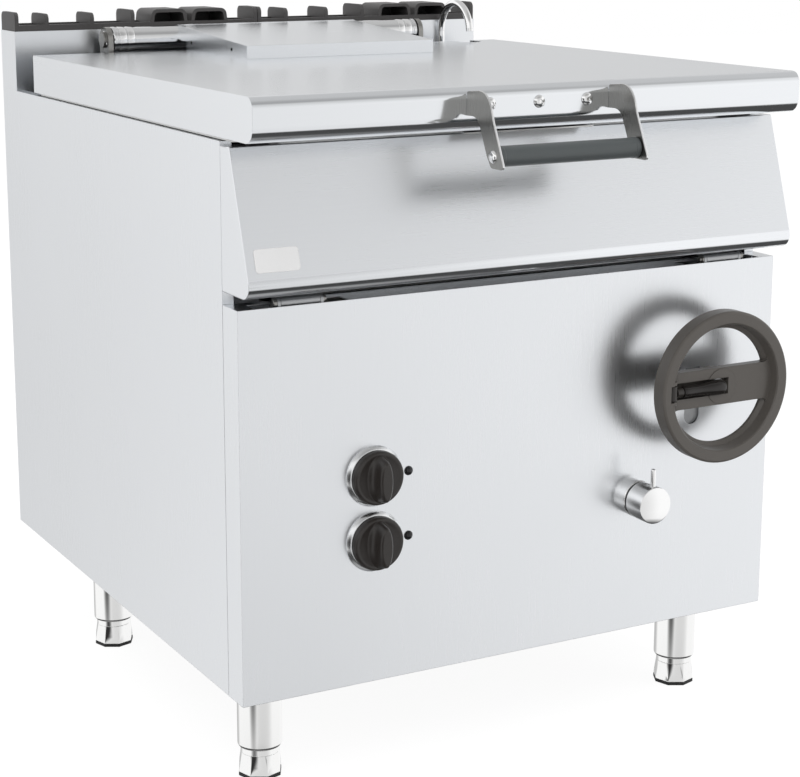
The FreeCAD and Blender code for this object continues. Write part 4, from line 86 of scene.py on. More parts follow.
def feed(tree: Tree, node: bpy.types.Node, inputs: dict[str | int, Any]) -> None:
    """Wires a socket to, or sets a plain value at, each given input of a node.

    Args:
        tree: Tree of the node.
        node: The node.
        inputs: A socket or a value for each input, by the input's name or number.
    """
    for key, value in inputs.items():
        if isinstance(value, Socket):
            tree.links.new(value, node.inputs[key])
        else:
            node.inputs[key].default_value = value


def remap(tree: Tree, value: Socket, start: tuple[float, float],
          end: tuple[float, float] = (0.0, 1.0), shape: str = "LINEAR") -> Socket:
    """Carries a value over from one range to another.

    Args:
        tree: Tree that grows.
        value: Socket of the value.
        start: The value's own range.
        end: The range that it is carried over to.
        shape: How the new value runs between its two ends.

    Returns:
        The socket of the new value.
    """
    node = tree.nodes.new("ShaderNodeMapRange")
    node.interpolation_type = shape
    feed(tree, node, {"Value": value, "From Min": start[0], "From Max": start[1],
                      "To Min": end[0], "To Max": end[1]})
    return node.outputs["Result"]


# Finishes

METAL = 1.0
PLAIN = 0.0
NOISE_DETAIL = 3.0
BROAD_SCALES = (5.0, 5.0, 5.0)
BROAD_SHARE = 0.55
PATTERN_RANGE = (0.45, 1.1)
TINT_RANGE = (0.25, 0.75)
LEAST_ROUGHNESS = 0.02
RELIEF_DEPTH = 0.0003
SOFT_EDGE = 0.0008
SOFT_SAMPLES = 4


@dataclass(frozen=True)
class Grain:
    """The direction and fineness of a brushed or drawn surface."""

    along: Axis
    fineness: float
    stretch: float

    def scales(self) -> Point:
        """Returns the texture scale in each direction, low along the grain."""
        low = self.fineness / self.stretch
        return tuple(low if part else self.fineness for part in self.along.value)


@dataclass(frozen=True)
class Finish:
    """A surface finish, made as a node material on object coordinates.

    Attributes:
        name: Name of the material.
        colour: Base colour in linear values.
        metallic: METAL, or PLAIN for a plastic, coat or enamel.
        roughness: Middle roughness of the surface.
        spread: How far the roughness strays either side of the middle.
        relief: Strength of the pattern's bump.
        mottle: How much the colour varies over the piece.
        grain: Brushed grain, or None for an even surface.
        texture: Scale of an even surface's pattern.
    """

    name: str
    colour: Point
    metallic: float
    roughness: float
    spread: float
    relief: float
    mottle: float
    grain: Optional[Grain] = None
    texture: float = 400.0

    def material(self) -> bpy.types.Material:
        """Builds the material once and hands it back on later calls.

        Returns:
            The node material of this finish.
        """
        known = bpy.data.materials.get(self.name)
        if known is not None:
            return known
        material = bpy.data.materials.new(self.name)
        material.use_nodes = True
        tree = material.node_tree
        place = tree.nodes.new("ShaderNodeTexCoord").outputs["Object"]
        scales = self.grain.scales() if self.grain else (self.texture,) * 3
        fine = self._noise(tree, place, scales)
        broad = self._noise(tree, place, BROAD_SCALES)
        both = tree.nodes.new("ShaderNodeMath")
        both.operation = "MULTIPLY_ADD"
        feed(tree, both, {0: broad, 1: BROAD_SHARE, 2: fine})
        rough = remap(tree, both.outputs[0], PATTERN_RANGE,
                      (max(LEAST_ROUGHNESS, self.roughness - self.spread),
                       min(1.0, self.roughness + self.spread)))
        colour = tree.nodes.new("ShaderNodeMix")
        colour.data_type = "RGBA"
        colour.blend_type = "MULTIPLY"
        feed(tree, colour, {"Factor": 1.0, "A": (*self.colour, 1.0),
                            "B": remap(tree, fine, TINT_RANGE, (1.0 - self.mottle, 1.0))})
        soft = tree.nodes.new("ShaderNodeBevel")
        soft.samples = SOFT_SAMPLES
        feed(tree, soft, {"Radius": SOFT_EDGE})
        bump = tree.nodes.new("ShaderNodeBump")
        feed(tree, bump, {"Strength": self.relief, "Distance": RELIEF_DEPTH, "Height": fine,
                          "Normal": soft.outputs["Normal"]})
        feed(tree, tree.nodes["Principled BSDF"], {
            "Metallic": self.metallic, "Roughness": rough,
            "Base Color": colour.outputs["Result"], "Normal": bump.outputs["Normal"]})
        return material

    @staticmethod
    def _noise(tree: Tree, place: Socket, scales: Point) -> Socket:
        """Adds one noise pattern on object coordinates.

        Args:
            tree: Tree that grows.
            place: Socket of the object coordinates.
            scales: Scale of the pattern along X, Y and Z.

        Returns:
            The socket of the pattern's value.
        """
        mapping = tree.nodes.new("ShaderNodeMapping")
        feed(tree, mapping, {"Scale": scales, "Vector": place})
        noise = tree.nodes.new("ShaderNodeTexNoise")
        feed(tree, noise, {"Scale": 1.0, "Detail": NOISE_DETAIL,
                           "Vector": mapping.outputs["Vector"]})
        return noise.outputs["Fac"]


def satin(way: str, axis: Axis, roughness: float) -> Finish:
    """Returns the satin steel of the outer sheets, brushed along one axis.

    Args:
        way: Word for the direction, the end of the material's name.
        axis: Direction of the brushing.
        roughness: Middle roughness.
    """
    return Finish("satin_steel_" + way, (0.90, 0.92, 0.945), METAL, roughness, 0.03, 0.016, 0.02,
                  Grain(axis, 1100.0, 80.0))


# The numbers of each finish: roughness, spread, relief and mottle.
SATIN_X = satin("crosswise", Axis.X, 0.29)
SATIN_Y = satin("lengthwise", Axis.Y, 0.25)
SATIN_Z = satin("upright", Axis.Z, 0.29)
POLISHED = Finish(
    "polished_nose_steel", (0.89, 0.91, 0.935), METAL, 0.11, 0.02, 0.010, 0.015,
    Grain(Axis.X, 1500.0, 90.0))
BRIGHT = Finish(
    "bright_steel", (0.86, 0.865, 0.87), METAL, 0.14, 0.03, 0.015, 0.03,
    Grain(Axis.X, 1400.0, 90.0))
SPUN = Finish(
    "spun_ring_steel", (0.88, 0.89, 0.90), METAL, 0.20, 0.04, 0.03, 0.03,
    Grain(Axis.Y, 900.0, 20.0))
ARM_SATIN = Finish(
    "handle_plate_steel", (0.36, 0.355, 0.34), METAL, 0.28, 0.03, 0.02, 0.05,
    Grain(Axis.Z, 900.0, 60.0))
VESSEL = Finish(
    "vessel_steel", (0.66, 0.66, 0.65), METAL, 0.30, 0.06, 0.05, 0.08, Grain(Axis.X, 700.0, 12.0))
MILL = Finish(
    "mill_sheet", (0.52, 0.53, 0.54), METAL, 0.42, 0.08, 0.06, 0.10, Grain(Axis.Y, 300.0, 8.0))
MACHINED = Finish(
    "machined_steel", (0.45, 0.45, 0.46), METAL, 0.30, 0.08, 0.05, 0.10, Grain(Axis.X, 800.0, 2.0))
TUBE_CHROME = Finish(
    "leg_tube_steel", (0.93, 0.93, 0.925), METAL, 0.07, 0.02, 0.01, 0.015,
    Grain(Axis.Z, 1200.0, 60.0))
CHROME = Finish("chrome_plate", (0.97, 0.97, 0.97), METAL, 0.05, 0.015, 0.004, 0.01, texture=300.0)
BRASS = Finish("plain_brass", (0.66, 0.46, 0.20), METAL, 0.30, 0.08, 0.03, 0.12, texture=500.0)
COPPER = Finish("drawn_copper", (0.72, 0.38, 0.24), METAL, 0.28, 0.08, 0.03, 0.15, texture=300.0)
PLATE = Finish(
    "bare_plate", (0.72, 0.72, 0.72), PLAIN, 0.34, 0.03, 0.02, 0.02, Grain(Axis.X, 1500.0, 40.0))
WHEEL_COAT = Finish(
    "wheel_coat", (0.082, 0.074, 0.066), PLAIN, 0.34, 0.04, 0.04, 0.06, texture=1400.0)
CAST = Finish(
    "enamelled_cast_iron", (0.060, 0.057, 0.057), PLAIN, 0.46, 0.08, 0.20, 0.15, texture=500.0)
GEARBOX_CAST = Finish(
    "painted_casting", (0.16, 0.19, 0.20), PLAIN, 0.48, 0.08, 0.40, 0.15, texture=260.0)
KNOB_BLACK = Finish(
    "knob_moulding", (0.022, 0.0185, 0.0165), PLAIN, 0.30, 0.05, 0.03, 0.10, texture=1500.0)
SLEEVE_BLACK = Finish(
    "sleeve_moulding", (0.012, 0.010, 0.009), PLAIN, 0.20, 0.04, 0.02, 0.10, texture=1500.0)
LAMP_BLACK = Finish("lamp_lens", (0.006, 0.006, 0.007), PLAIN, 0.12, 0.02, 0.0, 0.02, texture=300.0)
GRIP_SLATE = Finish(
    "grip_moulding", (0.068, 0.077, 0.079), PLAIN, 0.36, 0.05, 0.06, 0.08, texture=1300.0)
RUBBER = Finish("pad_rubber", (0.016, 0.016, 0.016), PLAIN, 0.60, 0.06, 0.10, 0.12, texture=900.0)

NODE_FINISHES = {
    SATIN_Z: ("front_panel", "left_side_panel", "right_side_panel", "rear_panel", "flue_column"),
    SATIN_Y: ("hinge_cover",),
    VESSEL: ("pan_vessel", "lid_liner"),
    MILL: ("rear_deck", "base_frame", "hinge_posts", "combustion_chamber", "flue_sleeve",
           "burner_tubes", "base_plate", "pan_jacket", "apron_rails", "hinge_beam",
           "hinge_leaves", "gear_carrier", "bearing_plate"),
    CHROME: ("tap_body",),
    WHEEL_COAT: ("handwheel",),
    CAST: ("flue_grid_left", "flue_grid_right"),
    ARM_SATIN: ("tilt_pins", "hinge_brackets"),
    GEARBOX_CAST: ("tilt_gearbox",),
    MACHINED: ("tilt_sector", "idler_gear", "drive_pinion", "cross_shaft", "wheel_shaft"),
    BRASS: ("gas_valve", "thermostat", "gas_manifold"),
    COPPER: ("gas_pipes", "water_pipes"),
    PLATE: ("name_plate",),
}


def dress_nodes() -> None:
    """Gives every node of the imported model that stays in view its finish."""
    for finish, names in NODE_FINISHES.items():
        for name in names:
            node = bpy.data.objects.get(name)
            if node is None:
                LOG.warning("no node %s", name)
                continue
            if not node.material_slots:
                node.data.materials.append(finish.material())
            for slot in node.material_slots:
                slot.material = finish.material()


# Workshop: the mesh helpers that the pieces share

SHARP_ANGLE = math.radians(35.0)
FOLD_ANGLE = math.radians(20.0)
WIDE_FACE = 12.0
WELD = 1e-6
SPECK = 1e-7
ALIGNED = 0.999


def finish_piece(name: str, mesh: Mesh, body: Body, finish: Finish,
                 replaces: Sequence[str] = ()) -> bpy.types.Object:
    """Turns a bmesh into a finished piece that rides on its body.

    Args:
        name: Name of the new piece.
        mesh: The finished bmesh, which is freed.
        body: Body that it rides on.
        finish: Its surface finish.
        replaces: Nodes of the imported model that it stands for.

    Returns:
        The new object.
    """
    clean(mesh)
    data = bpy.data.meshes.new(name)
    mesh.to_mesh(data)
    mesh.free()
    for polygon in data.polygons:
        polygon.use_smooth = True
    data.set_sharp_from_angle(angle=SHARP_ANGLE)
    crisp_flats(data)
    data.materials.append(finish.material())
    piece = bpy.data.objects.new(name, data)
    bpy.context.scene.collection.objects.link(piece)
    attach(piece, body.value)
    if replaces:
        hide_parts(*replaces)
    LOG.info("piece %s: %d faces", name, len(data.polygons))
    return piece


def clean(mesh: Mesh) -> None:
    """Welds double corners, drops specks and turns all faces outwards."""
    bmesh.ops.remove_doubles(mesh, verts=mesh.verts, dist=WELD)
    bmesh.ops.dissolve_degenerate(mesh, dist=SPECK, edges=mesh.edges)
    bmesh.ops.recalc_face_normals(mesh, faces=mesh.faces)


def crisp_flats(data: bpy.types.Mesh) -> None:
    """Keeps the shading of large flat faces flat beside their rounded edges.

    Args:
        data: The mesh whose edges are marked.
    """
    lengths = {edge.key: (data.vertices[edge.key[0]].co - data.vertices[edge.key[1]].co).length
               for edge in data.edges}
    wide = {key for face in data.polygons
            if face.area > WIDE_FACE * MM * max(lengths[key] for key in face.edge_keys)
            for key in face.edge_keys}
    for edge in data.edges:
        if edge.key in wide:
            edge.use_edge_sharp = True


def dress_faces(piece: bpy.types.Object, finish: Finish,
                test: Callable[[bpy.types.MeshPolygon], bool]) -> None:
    """Gives some faces of a piece a second finish.

    Args:
        piece: The finished piece.
        finish: The second finish.
        test: Test that says which faces get it.
    """
    piece.data.materials.append(finish.material())
    index = len(piece.data.materials) - 1
    for polygon in piece.data.polygons:
        if test(polygon):
            polygon.material_index = index


def thicken(piece: bpy.types.Object, wall: float) -> None:
    """Gives a sheet its thickness, inwards from its outer face.

    Args:
        piece: The sheet.
        wall: Thickness in millimetres.
    """
    skin = piece.modifiers.new("wall", "SOLIDIFY")
    skin.thickness = wall * MM
    skin.offset = -1.0


def join_into(target: Mesh, part: Mesh) -> None:
    """Adds a bmesh to another and frees it.

    Args:
        target: The bmesh that grows.
        part: The bmesh that is added.
    """
    data = bpy.data.meshes.new("joint")
    part.to_mesh(data)
    part.free()
    target.from_mesh(data)
    bpy.data.meshes.remove(data)


def lathe(profile: Pairs, centre: Point, axis: Axis, steps: int = 64, side: int = 1) -> Mesh:
    """Turns a closed or pole-to-pole profile about an axis.

    Args:
        profile: Pairs of radius and rise along the axis from the centre, in millimetres.
        centre: The point of the axis that the rise is measured from, in millimetres.
        axis: Direction of the axis.
        steps: Number of steps of the full turn.
        side: One where the rise goes along the axis, minus one where it goes against it.

    Returns:
        The turned bmesh, in metres.
    """
    mesh = bmesh.new()
    along = Vector(axis.value)
    outward = Vector((Axis.X if axis is Axis.Z else Axis.Z).value)
    base = Vector(centre)
    verts = [mesh.verts.new((base + outward * radius + along * side * rise) * MM)
             for radius, rise in profile]
    edges = [mesh.edges.new(pair) for pair in zip(verts[:-1], verts[1:])]
    if profile[0][0] or profile[-1][0]:
        edges.append(mesh.edges.new((verts[-1], verts[0])))
    bmesh.ops.spin(mesh, geom=verts + edges, cent=base * MM, axis=along, angle=math.tau,
                   steps=steps, use_merge=True, use_duplicate=False)
    clean(mesh)
    return mesh


def block(low: Point, high: Point, radius: float) -> Mesh:
    """Returns a rounded block between two corners, in metres.

    Args:
        low: Lowest corner in millimetres.
        high: Highest corner in millimetres.
        radius: Edge radius in millimetres.
    """
    mesh = bmesh.new()
    bmesh.ops.create_cube(mesh, size=1.0)
    bmesh.ops.scale(mesh, vec=(Vector(high) - Vector(low)) * MM, verts=mesh.verts)
    move(mesh, (Vector(low) + Vector(high)) * 0.5)
    round_edges(mesh, list(mesh.edges), radius, 2)
    return mesh


def slab(outline: Sequence[Point], reach: Point) -> Mesh:
    """Returns a straight prism in metres: a flat outline pushed along a direction.

    Args:
        outline: Corners of the outline in millimetres, in order.
        reach: The push, in millimetres.
    """
    mesh = bmesh.new()
    face = mesh.faces.new([mesh.verts.new(Vector(point) * MM) for point in outline])
    push(mesh, [face], reach, keep=True)
    bmesh.ops.recalc_face_normals(mesh, faces=mesh.faces)
    return mesh


def only(kind: type, items: Iterable[Any]) -> list[Any]:
    """Returns the items that are of one kind."""
    return [item for item in items if isinstance(item, kind)]


def move(mesh: Mesh, way: Sequence[float], verts: Optional[Sequence[Vert]] = None) -> None:
    """Moves a bmesh, or some of its corners.

    Args:
        mesh: The bmesh.
        way: The move in millimetres.
        verts: The corners that move, or None for all.
    """
    bmesh.ops.translate(mesh, vec=Vector(way) * MM, verts=verts or mesh.verts)


def push(mesh: Mesh, faces: Sequence[Face], way: Sequence[float], keep: bool = False) -> list[Face]:
    """Extrudes faces and moves the new ones.

    Args:
        mesh: The bmesh that grows.
        faces: The faces that are extruded.
        way: The move in millimetres.
        keep: Whether the old faces stay.

    Returns:
        The new faces at the far end.
    """
    grown = bmesh.ops.extrude_face_region(mesh, geom=faces, use_keep_orig=keep)["geom"]
    move(mesh, way, only(Vert, grown))
    return only(Face, grown)


def round_edges(mesh: Mesh, edges: Sequence[Edge], radius: float, segments: int,
                clamp: bool = False) -> None:
    """Rounds the given edges.

    Args:
        mesh: The bmesh that is changed.
        edges: The edges.
        radius: Radius in millimetres.
        segments: Segments of each rounded edge.
        clamp: Whether the radius shrinks where two roundings would meet.
    """
    bmesh.ops.bevel(mesh, geom=edges, offset=radius * MM, affect="EDGES", segments=segments,
                    profile=0.5, material=-1, clamp_overlap=clamp)


def soften(mesh: Mesh, radius: float, segments: int = 2,
           keep: Callable[[Edge], bool] = lambda edge: True) -> None:
    """Rounds the folded edges of a bmesh that a test accepts.

    Args:
        mesh: The bmesh that is changed.
        radius: Radius in millimetres.
        segments: Segments of each rounded edge.
        keep: Test that says which edges are rounded.
    """
    edges = [edge for edge in mesh.edges if len(edge.link_faces) == 2
             and edge.calc_face_angle(0.0) > FOLD_ANGLE and keep(edge)]
    round_edges(mesh, edges, radius, segments, clamp=True)


def along_axis(edge: Edge, axis: Axis) -> bool:
    """Tells whether an edge runs along an axis."""
    way = (edge.verts[1].co - edge.verts[0].co).normalized()
    return abs(way.dot(Vector(axis.value))) > ALIGNED


def middle_of(edge: Edge) -> Vector:
    """Returns an edge's middle point in millimetres."""
    return (edge.verts[0].co + edge.verts[1].co) * 0.5 / MM


# Sub-assemblies, all sizes in millimetres


@dataclass
class Lid:
    """The lid: its shell, hinge tube, handle and studs, and the screws round its hinge."""

    half_width: float = 396.5
    nose: float = -408.5
    rear: float = 355.5
    low: float = 834.0
    high: float = 888.2
    wall: float = 2.0
    top_radius: float = 14.0
    foot_radius: float = 18.0
    spout_x: float = 333.0
    notch_y: float = 324.5
    notch_radius: float = 18.0
    notch_steps: int = 16
    underside: float = 54.0
    hinge_y: float = 391.5
    hinge_z: float = 905.2
    tube_radius: float = 18.0
    tube_half: float = 256.0
    band_insets: Sequence[float] = (4.0, 17.0)
    cap_screw_circle: float = 15.2
    bracket_x: float = 272.0
    bracket_screw_circle: float = 10.0
    cover_x: float = 153.0
    cover_screws_at: Pairs = ((188.0, 899.0), (336.0, 900.0))
    handle_x: float = -9.5
    handle_half: float = 104.5
    handle_front: float = -491.5
    arm: float = 3.0
    grip_y: float = -469.5
    grip_z: float = 811.2
    grip_radius: float = 13.0
    stud_x: float = -11.0
    stud_pitch: float = 70.0
    stud_z: float = 867.0

    def build(self) -> None:
        """Builds every visible piece of the lid."""
        self.shell()
        self.tube()
        self.arms()
        self.grip()
        self.studs()
        self.cover_screws()
        self.bracket_screws()

    def round_hinge(self, x: float, radius: float, start: float) -> list[Point]:
        """Returns three places spread evenly round the hinge's axis.

        Args:
            x: Their place along the axis.
            radius: Their distance from the axis.
            start: Angle of the first one, in radians.
        """
        turns = [start + math.tau * step / 3 for step in range(3)]
        return [(x, self.hinge_y + radius * math.cos(turn), self.hinge_z + radius * math.sin(turn))
                for turn in turns]

    def bracket_screws(self) -> None:
        """Builds the three screws on the outer face of each hinge bracket."""
        head = ((0, 1.5), (1.9, 1.3), (3.0, 0.7), (3.4, -0.5), (0, -0.5))
        mesh = bmesh.new()
        for side in (-1, 1):
            for spot in self.round_hinge(side * self.bracket_x, self.bracket_screw_circle,
                                         math.pi / 2):
                join_into(mesh, lathe(head, spot, Axis.X, 24, side))
        finish_piece("bracket_screw_set", mesh, Body.PAN, CHROME)

    def cover_screws(self) -> None:
        """Builds the small dark screws in the side flanges of the hinge cover."""
        head = ((0, 0.9), (1.9, 0.9), (2.6, 0.3), (2.6, -1), (0, -1))
        mesh = bmesh.new()
        for side in (-1, 1):
            for y, z in self.cover_screws_at:
                join_into(mesh, lathe(head, (side * self.cover_x, y, z), Axis.X, 24, side))
        finish_piece("cover_screw_set", mesh, Body.LID, LAMP_BLACK)

    def shell(self) -> None:
        """Builds the outer sheet with its rolled nose and the spout slot."""
        radius = self.notch_radius
        turns = [-math.pi * step / self.notch_steps for step in range(self.notch_steps + 1)]
        outline = [(-self.half_width, self.nose), (self.half_width, self.nose),
                   (self.half_width, self.rear), (self.spout_x + radius, self.rear)]
        outline += [(self.spout_x + radius * math.cos(turn), self.notch_y + radius * math.sin(turn))
                    for turn in turns]
        outline += [(self.spout_x - radius, self.rear), (-self.half_width, self.rear)]
        mesh = slab([(x, y, self.high) for x, y in outline], (0.0, 0.0, self.low - self.high))
        self.open_underside(mesh)
        front = [edge for edge in mesh.edges
                 if along_axis(edge, Axis.X) and middle_of(edge).y < self.nose + 0.5]
        tops = [edge for edge in front if middle_of(edge).z > self.high - 1]
        feet = [edge for edge in front if middle_of(edge).z < self.low + 1]
        round_edges(mesh, tops, self.top_radius, 10)
        round_edges(mesh, feet, self.foot_radius, 8)
        soften(mesh, 1.0, 2, lambda edge: middle_of(edge).z > self.low + 2
               and middle_of(edge).y > self.nose + 15)
        piece = finish_piece("lid_skin", mesh, Body.LID, SATIN_Y, ("lid_shell",))
        limit = (self.nose + self.top_radius - 1) * MM
        dress_faces(piece, POLISHED,
                    lambda face: face.center.y < limit and abs(face.normal.x) < 0.5)
        thicken(piece, self.wall)

    def open_underside(self, mesh: Mesh) -> None:
        """Opens the shell from below, but for a lip behind its nose.

        Args:
            mesh: The closed shell.
        """
        lip = self.nose + self.underside
        below = next(face for face in mesh.faces if face.normal.z < -0.9)
        bmesh.ops.bisect_plane(mesh, geom=[below, *below.edges, *below.verts],
                               plane_co=Vector((0, lip, 0)) * MM, plane_no=(0, 1, 0))
        opened = [face for face in mesh.faces
                  if face.normal.z < -0.9 and face.calc_center_median().y > lip * MM]
        bmesh.ops.delete(mesh, geom=opened, context="FACES")

    def tube(self) -> None:
        """Builds the hinge tube with its clamp bands and bearing caps."""
        radius = self.tube_radius
        half = self.tube_half
        wall = ((radius - 3, -half), (radius, -half), (radius, half), (radius - 3, half))
        finish_piece("hinge_tube_skin",
                     lathe(wall, (0.0, self.hinge_y, self.hinge_z), Axis.X, 72), Body.LID,
                     BRIGHT, ("hinge_tube",))
        band = ((radius - 1, 0), (radius + 0.6, 0), (radius + 0.9, 1), (radius + 0.9, 9),
                (radius + 0.6, 10), (radius - 1, 10))
        bands = bmesh.new()
        for side in (-1, 1):
            for inset in self.band_insets:
                start = (side * (half - inset), self.hinge_y, self.hinge_z)
                join_into(bands, lathe(band, start, Axis.X, 72, -side))
        finish_piece("hinge_tube_bands", bands, Body.LID, CHROME)
        cap = ((8.05, 0), (19, 0), (19, 4.6), (18, 6), (12.5, 6), (11.5, 5), (8.05, 5))
        head = ((0, 7.4), (1.8, 7.2), (2.4, 6.2), (2.4, 5.8), (0, 5.8))
        caps = bmesh.new()
        for side in (-1, 1):
            end = side * half
            join_into(caps, lathe(cap, (end, self.hinge_y, self.hinge_z), Axis.X, 72, side))
            for spot in self.round_hinge(end, self.cap_screw_circle, 0.5):
                join_into(caps, lathe(head, spot, Axis.X, 16, side))
        finish_piece("tube_cap_set", caps, Body.LID, BRIGHT, ("tube_caps",))

    def arm_outline(self) -> list[tuple[float, float]]:
        """Returns the arm's outline as pairs of Y and Z."""
        nose, high = self.nose, self.high
        grip_y, grip_z = self.grip_y, self.grip_z
        return [(nose, high - 6.0), (nose - 2, high - 4.5), (nose - 31, high - 1.5),
                (nose - 44, high - 6), (nose - 54, high - 19), (nose - 59, high - 35),
                (self.handle_front, grip_z - 9), (self.handle_front + 2, grip_z - 14),
                (grip_y + 5, grip_z - 14), (grip_y + 15, grip_z), (nose - 27, high - 38),
                (nose - 17, high - 33), (nose, high - 33.8)]

    def arms(self) -> None:
        """Builds the two plate arms of the handle, their edge faces in bright steel as a painted
        highlight.
        """
        mesh = bmesh.new()
        for side in (-1, 1):
            outer = self.handle_x + side * self.handle_half
            part = slab([(outer, y, z) for y, z in self.arm_outline()],
                        (-side * self.arm, 0.0, 0.0))
            soften(part, 7.0, 4, lambda edge: along_axis(edge, Axis.X)
                   and middle_of(edge).z > self.high - 45 and middle_of(edge).y < self.nose - 10)
            soften(part, 3.0, 3, lambda edge: along_axis(edge, Axis.X)
                   and middle_of(edge).z < self.high - 70)
            soften(part, 0.5, 2, lambda edge: not along_axis(edge, Axis.X))
            join_into(mesh, part)
        piece = finish_piece("handle_arm_pair", mesh, Body.LID, ARM_SATIN,
                             ("handle_arms",))
        # Painted highlight: only the edge faces of the dark plate get the bright steel, so they
        # read as lit rims.
        dress_faces(piece, BRIGHT, lambda face: abs(face.normal.x) < 0.9)

    def grip(self) -> None:
        """Builds the hand grip and its two screws."""
        half = self.handle_half - self.arm
        radius = self.grip_radius
        end = ((0, half), (radius - 1.5, half), (radius, half - 1.5), (radius, half - 7),
               (radius - 0.5, half - 7.6))
        sleeve = [(across, -along) for across, along in end] + list(reversed(end))
        finish_piece("grip_sleeve",
                     lathe(sleeve, (self.handle_x, self.grip_y, self.grip_z), Axis.X, 64),
                     Body.LID, GRIP_SLATE, ("handle_grip",))
        head = ((0, 3.0), (2.2, 3.0), (2.2, 3.5), (5.2, 3.2), (7.4, 1.6), (8, 0), (0, 0))
        mesh = bmesh.new()
        for side in (-1, 1):
            face = self.handle_x + side * self.handle_half
            join_into(mesh, lathe(head, (face, self.grip_y, self.grip_z), Axis.X, 32, side))
        finish_piece("grip_screw_pair", mesh, Body.LID, CHROME, ("grip_screws",))

    def studs(self) -> None:
        """Builds the three domed studs across the nose."""
        dome = ((0, 2.9), (2.3, 2.9), (2.6, 4.4), (5.0, 3.8), (7.2, 2.2), (8.0, 0), (8.0, -0.2),
                (0, -0.2))
        mesh = bmesh.new()
        for index in (-1, 0, 1):
            centre = (self.stud_x + index * self.stud_pitch, self.nose, self.stud_z)
            join_into(mesh, lathe(dome, centre, Axis.Y, 40, -1))
        finish_piece("nose_stud_set", mesh, Body.LID, CHROME, ("nose_studs",))


@dataclass
class Apron:
    """The sloping front of the pan with its rounded lower nose."""

    half_width: float = 400.0
    back: float = -325.3
    corner_y: float = -406.5
    top_y: float = -350.5
    low: float = 651.6
    high: float = 826.4
    wall: float = 2.0
    nose_radius: float = 18.0
    offset_per_radius: float = 1.372

    def build(self) -> None:
        """Builds the apron's skin, open at the back."""
        section = ((self.back, self.low), (self.corner_y, self.low), (self.top_y, self.high),
                   (self.back, self.high))
        mesh = slab([(-self.half_width, y, z) for y, z in section], (2 * self.half_width, 0.0, 0.0))
        rear = [face for face in mesh.faces if face.normal.y > 0.9]
        bmesh.ops.delete(mesh, geom=rear, context="FACES")
        nose = [edge for edge in mesh.edges
                if along_axis(edge, Axis.X) and middle_of(edge).y < self.corner_y + 1]
        round_edges(mesh, nose, self.nose_radius * self.offset_per_radius, 12)
        soften(mesh, 1.2, 3, lambda edge: middle_of(edge).y < self.back - 1)
        piece = finish_piece("apron_skin", mesh, Body.PAN, SATIN_X, ("apron",))
        dress_faces(piece, POLISHED, lambda face: face.normal.z < 0.25 and abs(face.normal.x) < 0.5)
        thicken(piece, self.wall)


@dataclass
class ControlKnob:
    """One control knob with its bevelled ring and lamp; its label is its node's name."""

    label: str
    body: Body
    height: float
    x: float = -218.0
    panel: float = -367.5
    back_gap: float = 6.5
    bezel_radius: float = 39.0
    radius: float = 34.5
    lamp_offset: float = 49.0

    def bezel(self) -> Mesh:
        """Returns the bevelled ring."""
        inner = self.radius - 8
        outer = self.bezel_radius
        ring = ((inner, 0), (outer, 0), (outer, 1.2), (outer - 0.8, 2.2), (outer - 3.4, 5.0),
                (outer - 4.4, 5.5), (inner, 5.5))
        return lathe(ring, (self.x, self.panel, self.height), Axis.Y, 96, -1)

    def lamp(self) -> Mesh:
        """Returns the lamp: its dome, its rim and the barrel behind the panel."""
        dome = ((0, 4.0), (2.4, 3.7), (4.4, 2.7), (5.4, 1.4), (5.5, 0.9), (6.0, 0.7), (6.0, 0),
                (4.0, 0), (4.0, -18), (0, -18))
        return lathe(dome, (self.x + self.lamp_offset, self.panel, self.height), Axis.Y, 40, -1)

    def moulding(self) -> None:
        """Builds the knob: a dished skirt and a tall leaf-shaped ridge with flaring flanks."""
        back = (self.x, self.panel - self.back_gap, self.height)
        radius = self.radius
        skirt = ((0, 0), (radius - 0.6, 0), (radius, 0.8), (radius, 6.0), (radius - 0.5, 8.0),
                 (radius - 1.8, 9.8), (radius - 3.2, 10.3), (radius - 6.0, 9.6),
                 (radius - 12.0, 8.6), (0, 8.4))
        mesh = lathe(skirt, back, Axis.Y, 96, -1)
        ridge = self.ridge()
        move(ridge, back)
        join_into(mesh, ridge)
        finish_piece(self.label + "_moulding", mesh, self.body, KNOB_BLACK,
                     (self.label,))

    @staticmethod
    def ridge() -> Mesh:
        """Returns the grip ridge, grown outwards ring by ring from its foot.

        Each ring has its rise before the knob's back face, its half width and half height.
        """
        rings = ((6.0, 17.5, 31.0), (8.6, 17.0, 30.6), (10.0, 14.6, 30.2), (12.5, 12.4, 29.6),
                 (16.0, 10.8, 28.8), (20.5, 9.7, 27.8), (25.0, 9.1, 26.6), (27.6, 8.6, 25.6),
                 (29.0, 7.6, 24.2), (29.9, 6.2, 22.6))
        mesh = bmesh.new()
        bmesh.ops.create_circle(mesh, cap_ends=True, segments=64, radius=MM)
        bmesh.ops.rotate(mesh, cent=(0, 0, 0), matrix=Matrix.Rotation(math.pi / 2, 3, "X"),
                         verts=mesh.verts)
        face = next(iter(mesh.faces))
        place, width, height = 0.0, 1.0, 1.0
        for rise, half_width, half_height in rings:
            if place:
                face = bmesh.ops.extrude_discrete_faces(mesh, faces=[face])["faces"][0]
            corners = list(face.verts)
            bmesh.ops.scale(mesh, vec=(half_width / width, 1.0, half_height / height),
                            verts=corners)
            move(mesh, (0.0, place - rise, 0.0), corners)
            place, width, height = rise, half_width, half_height
        return mesh


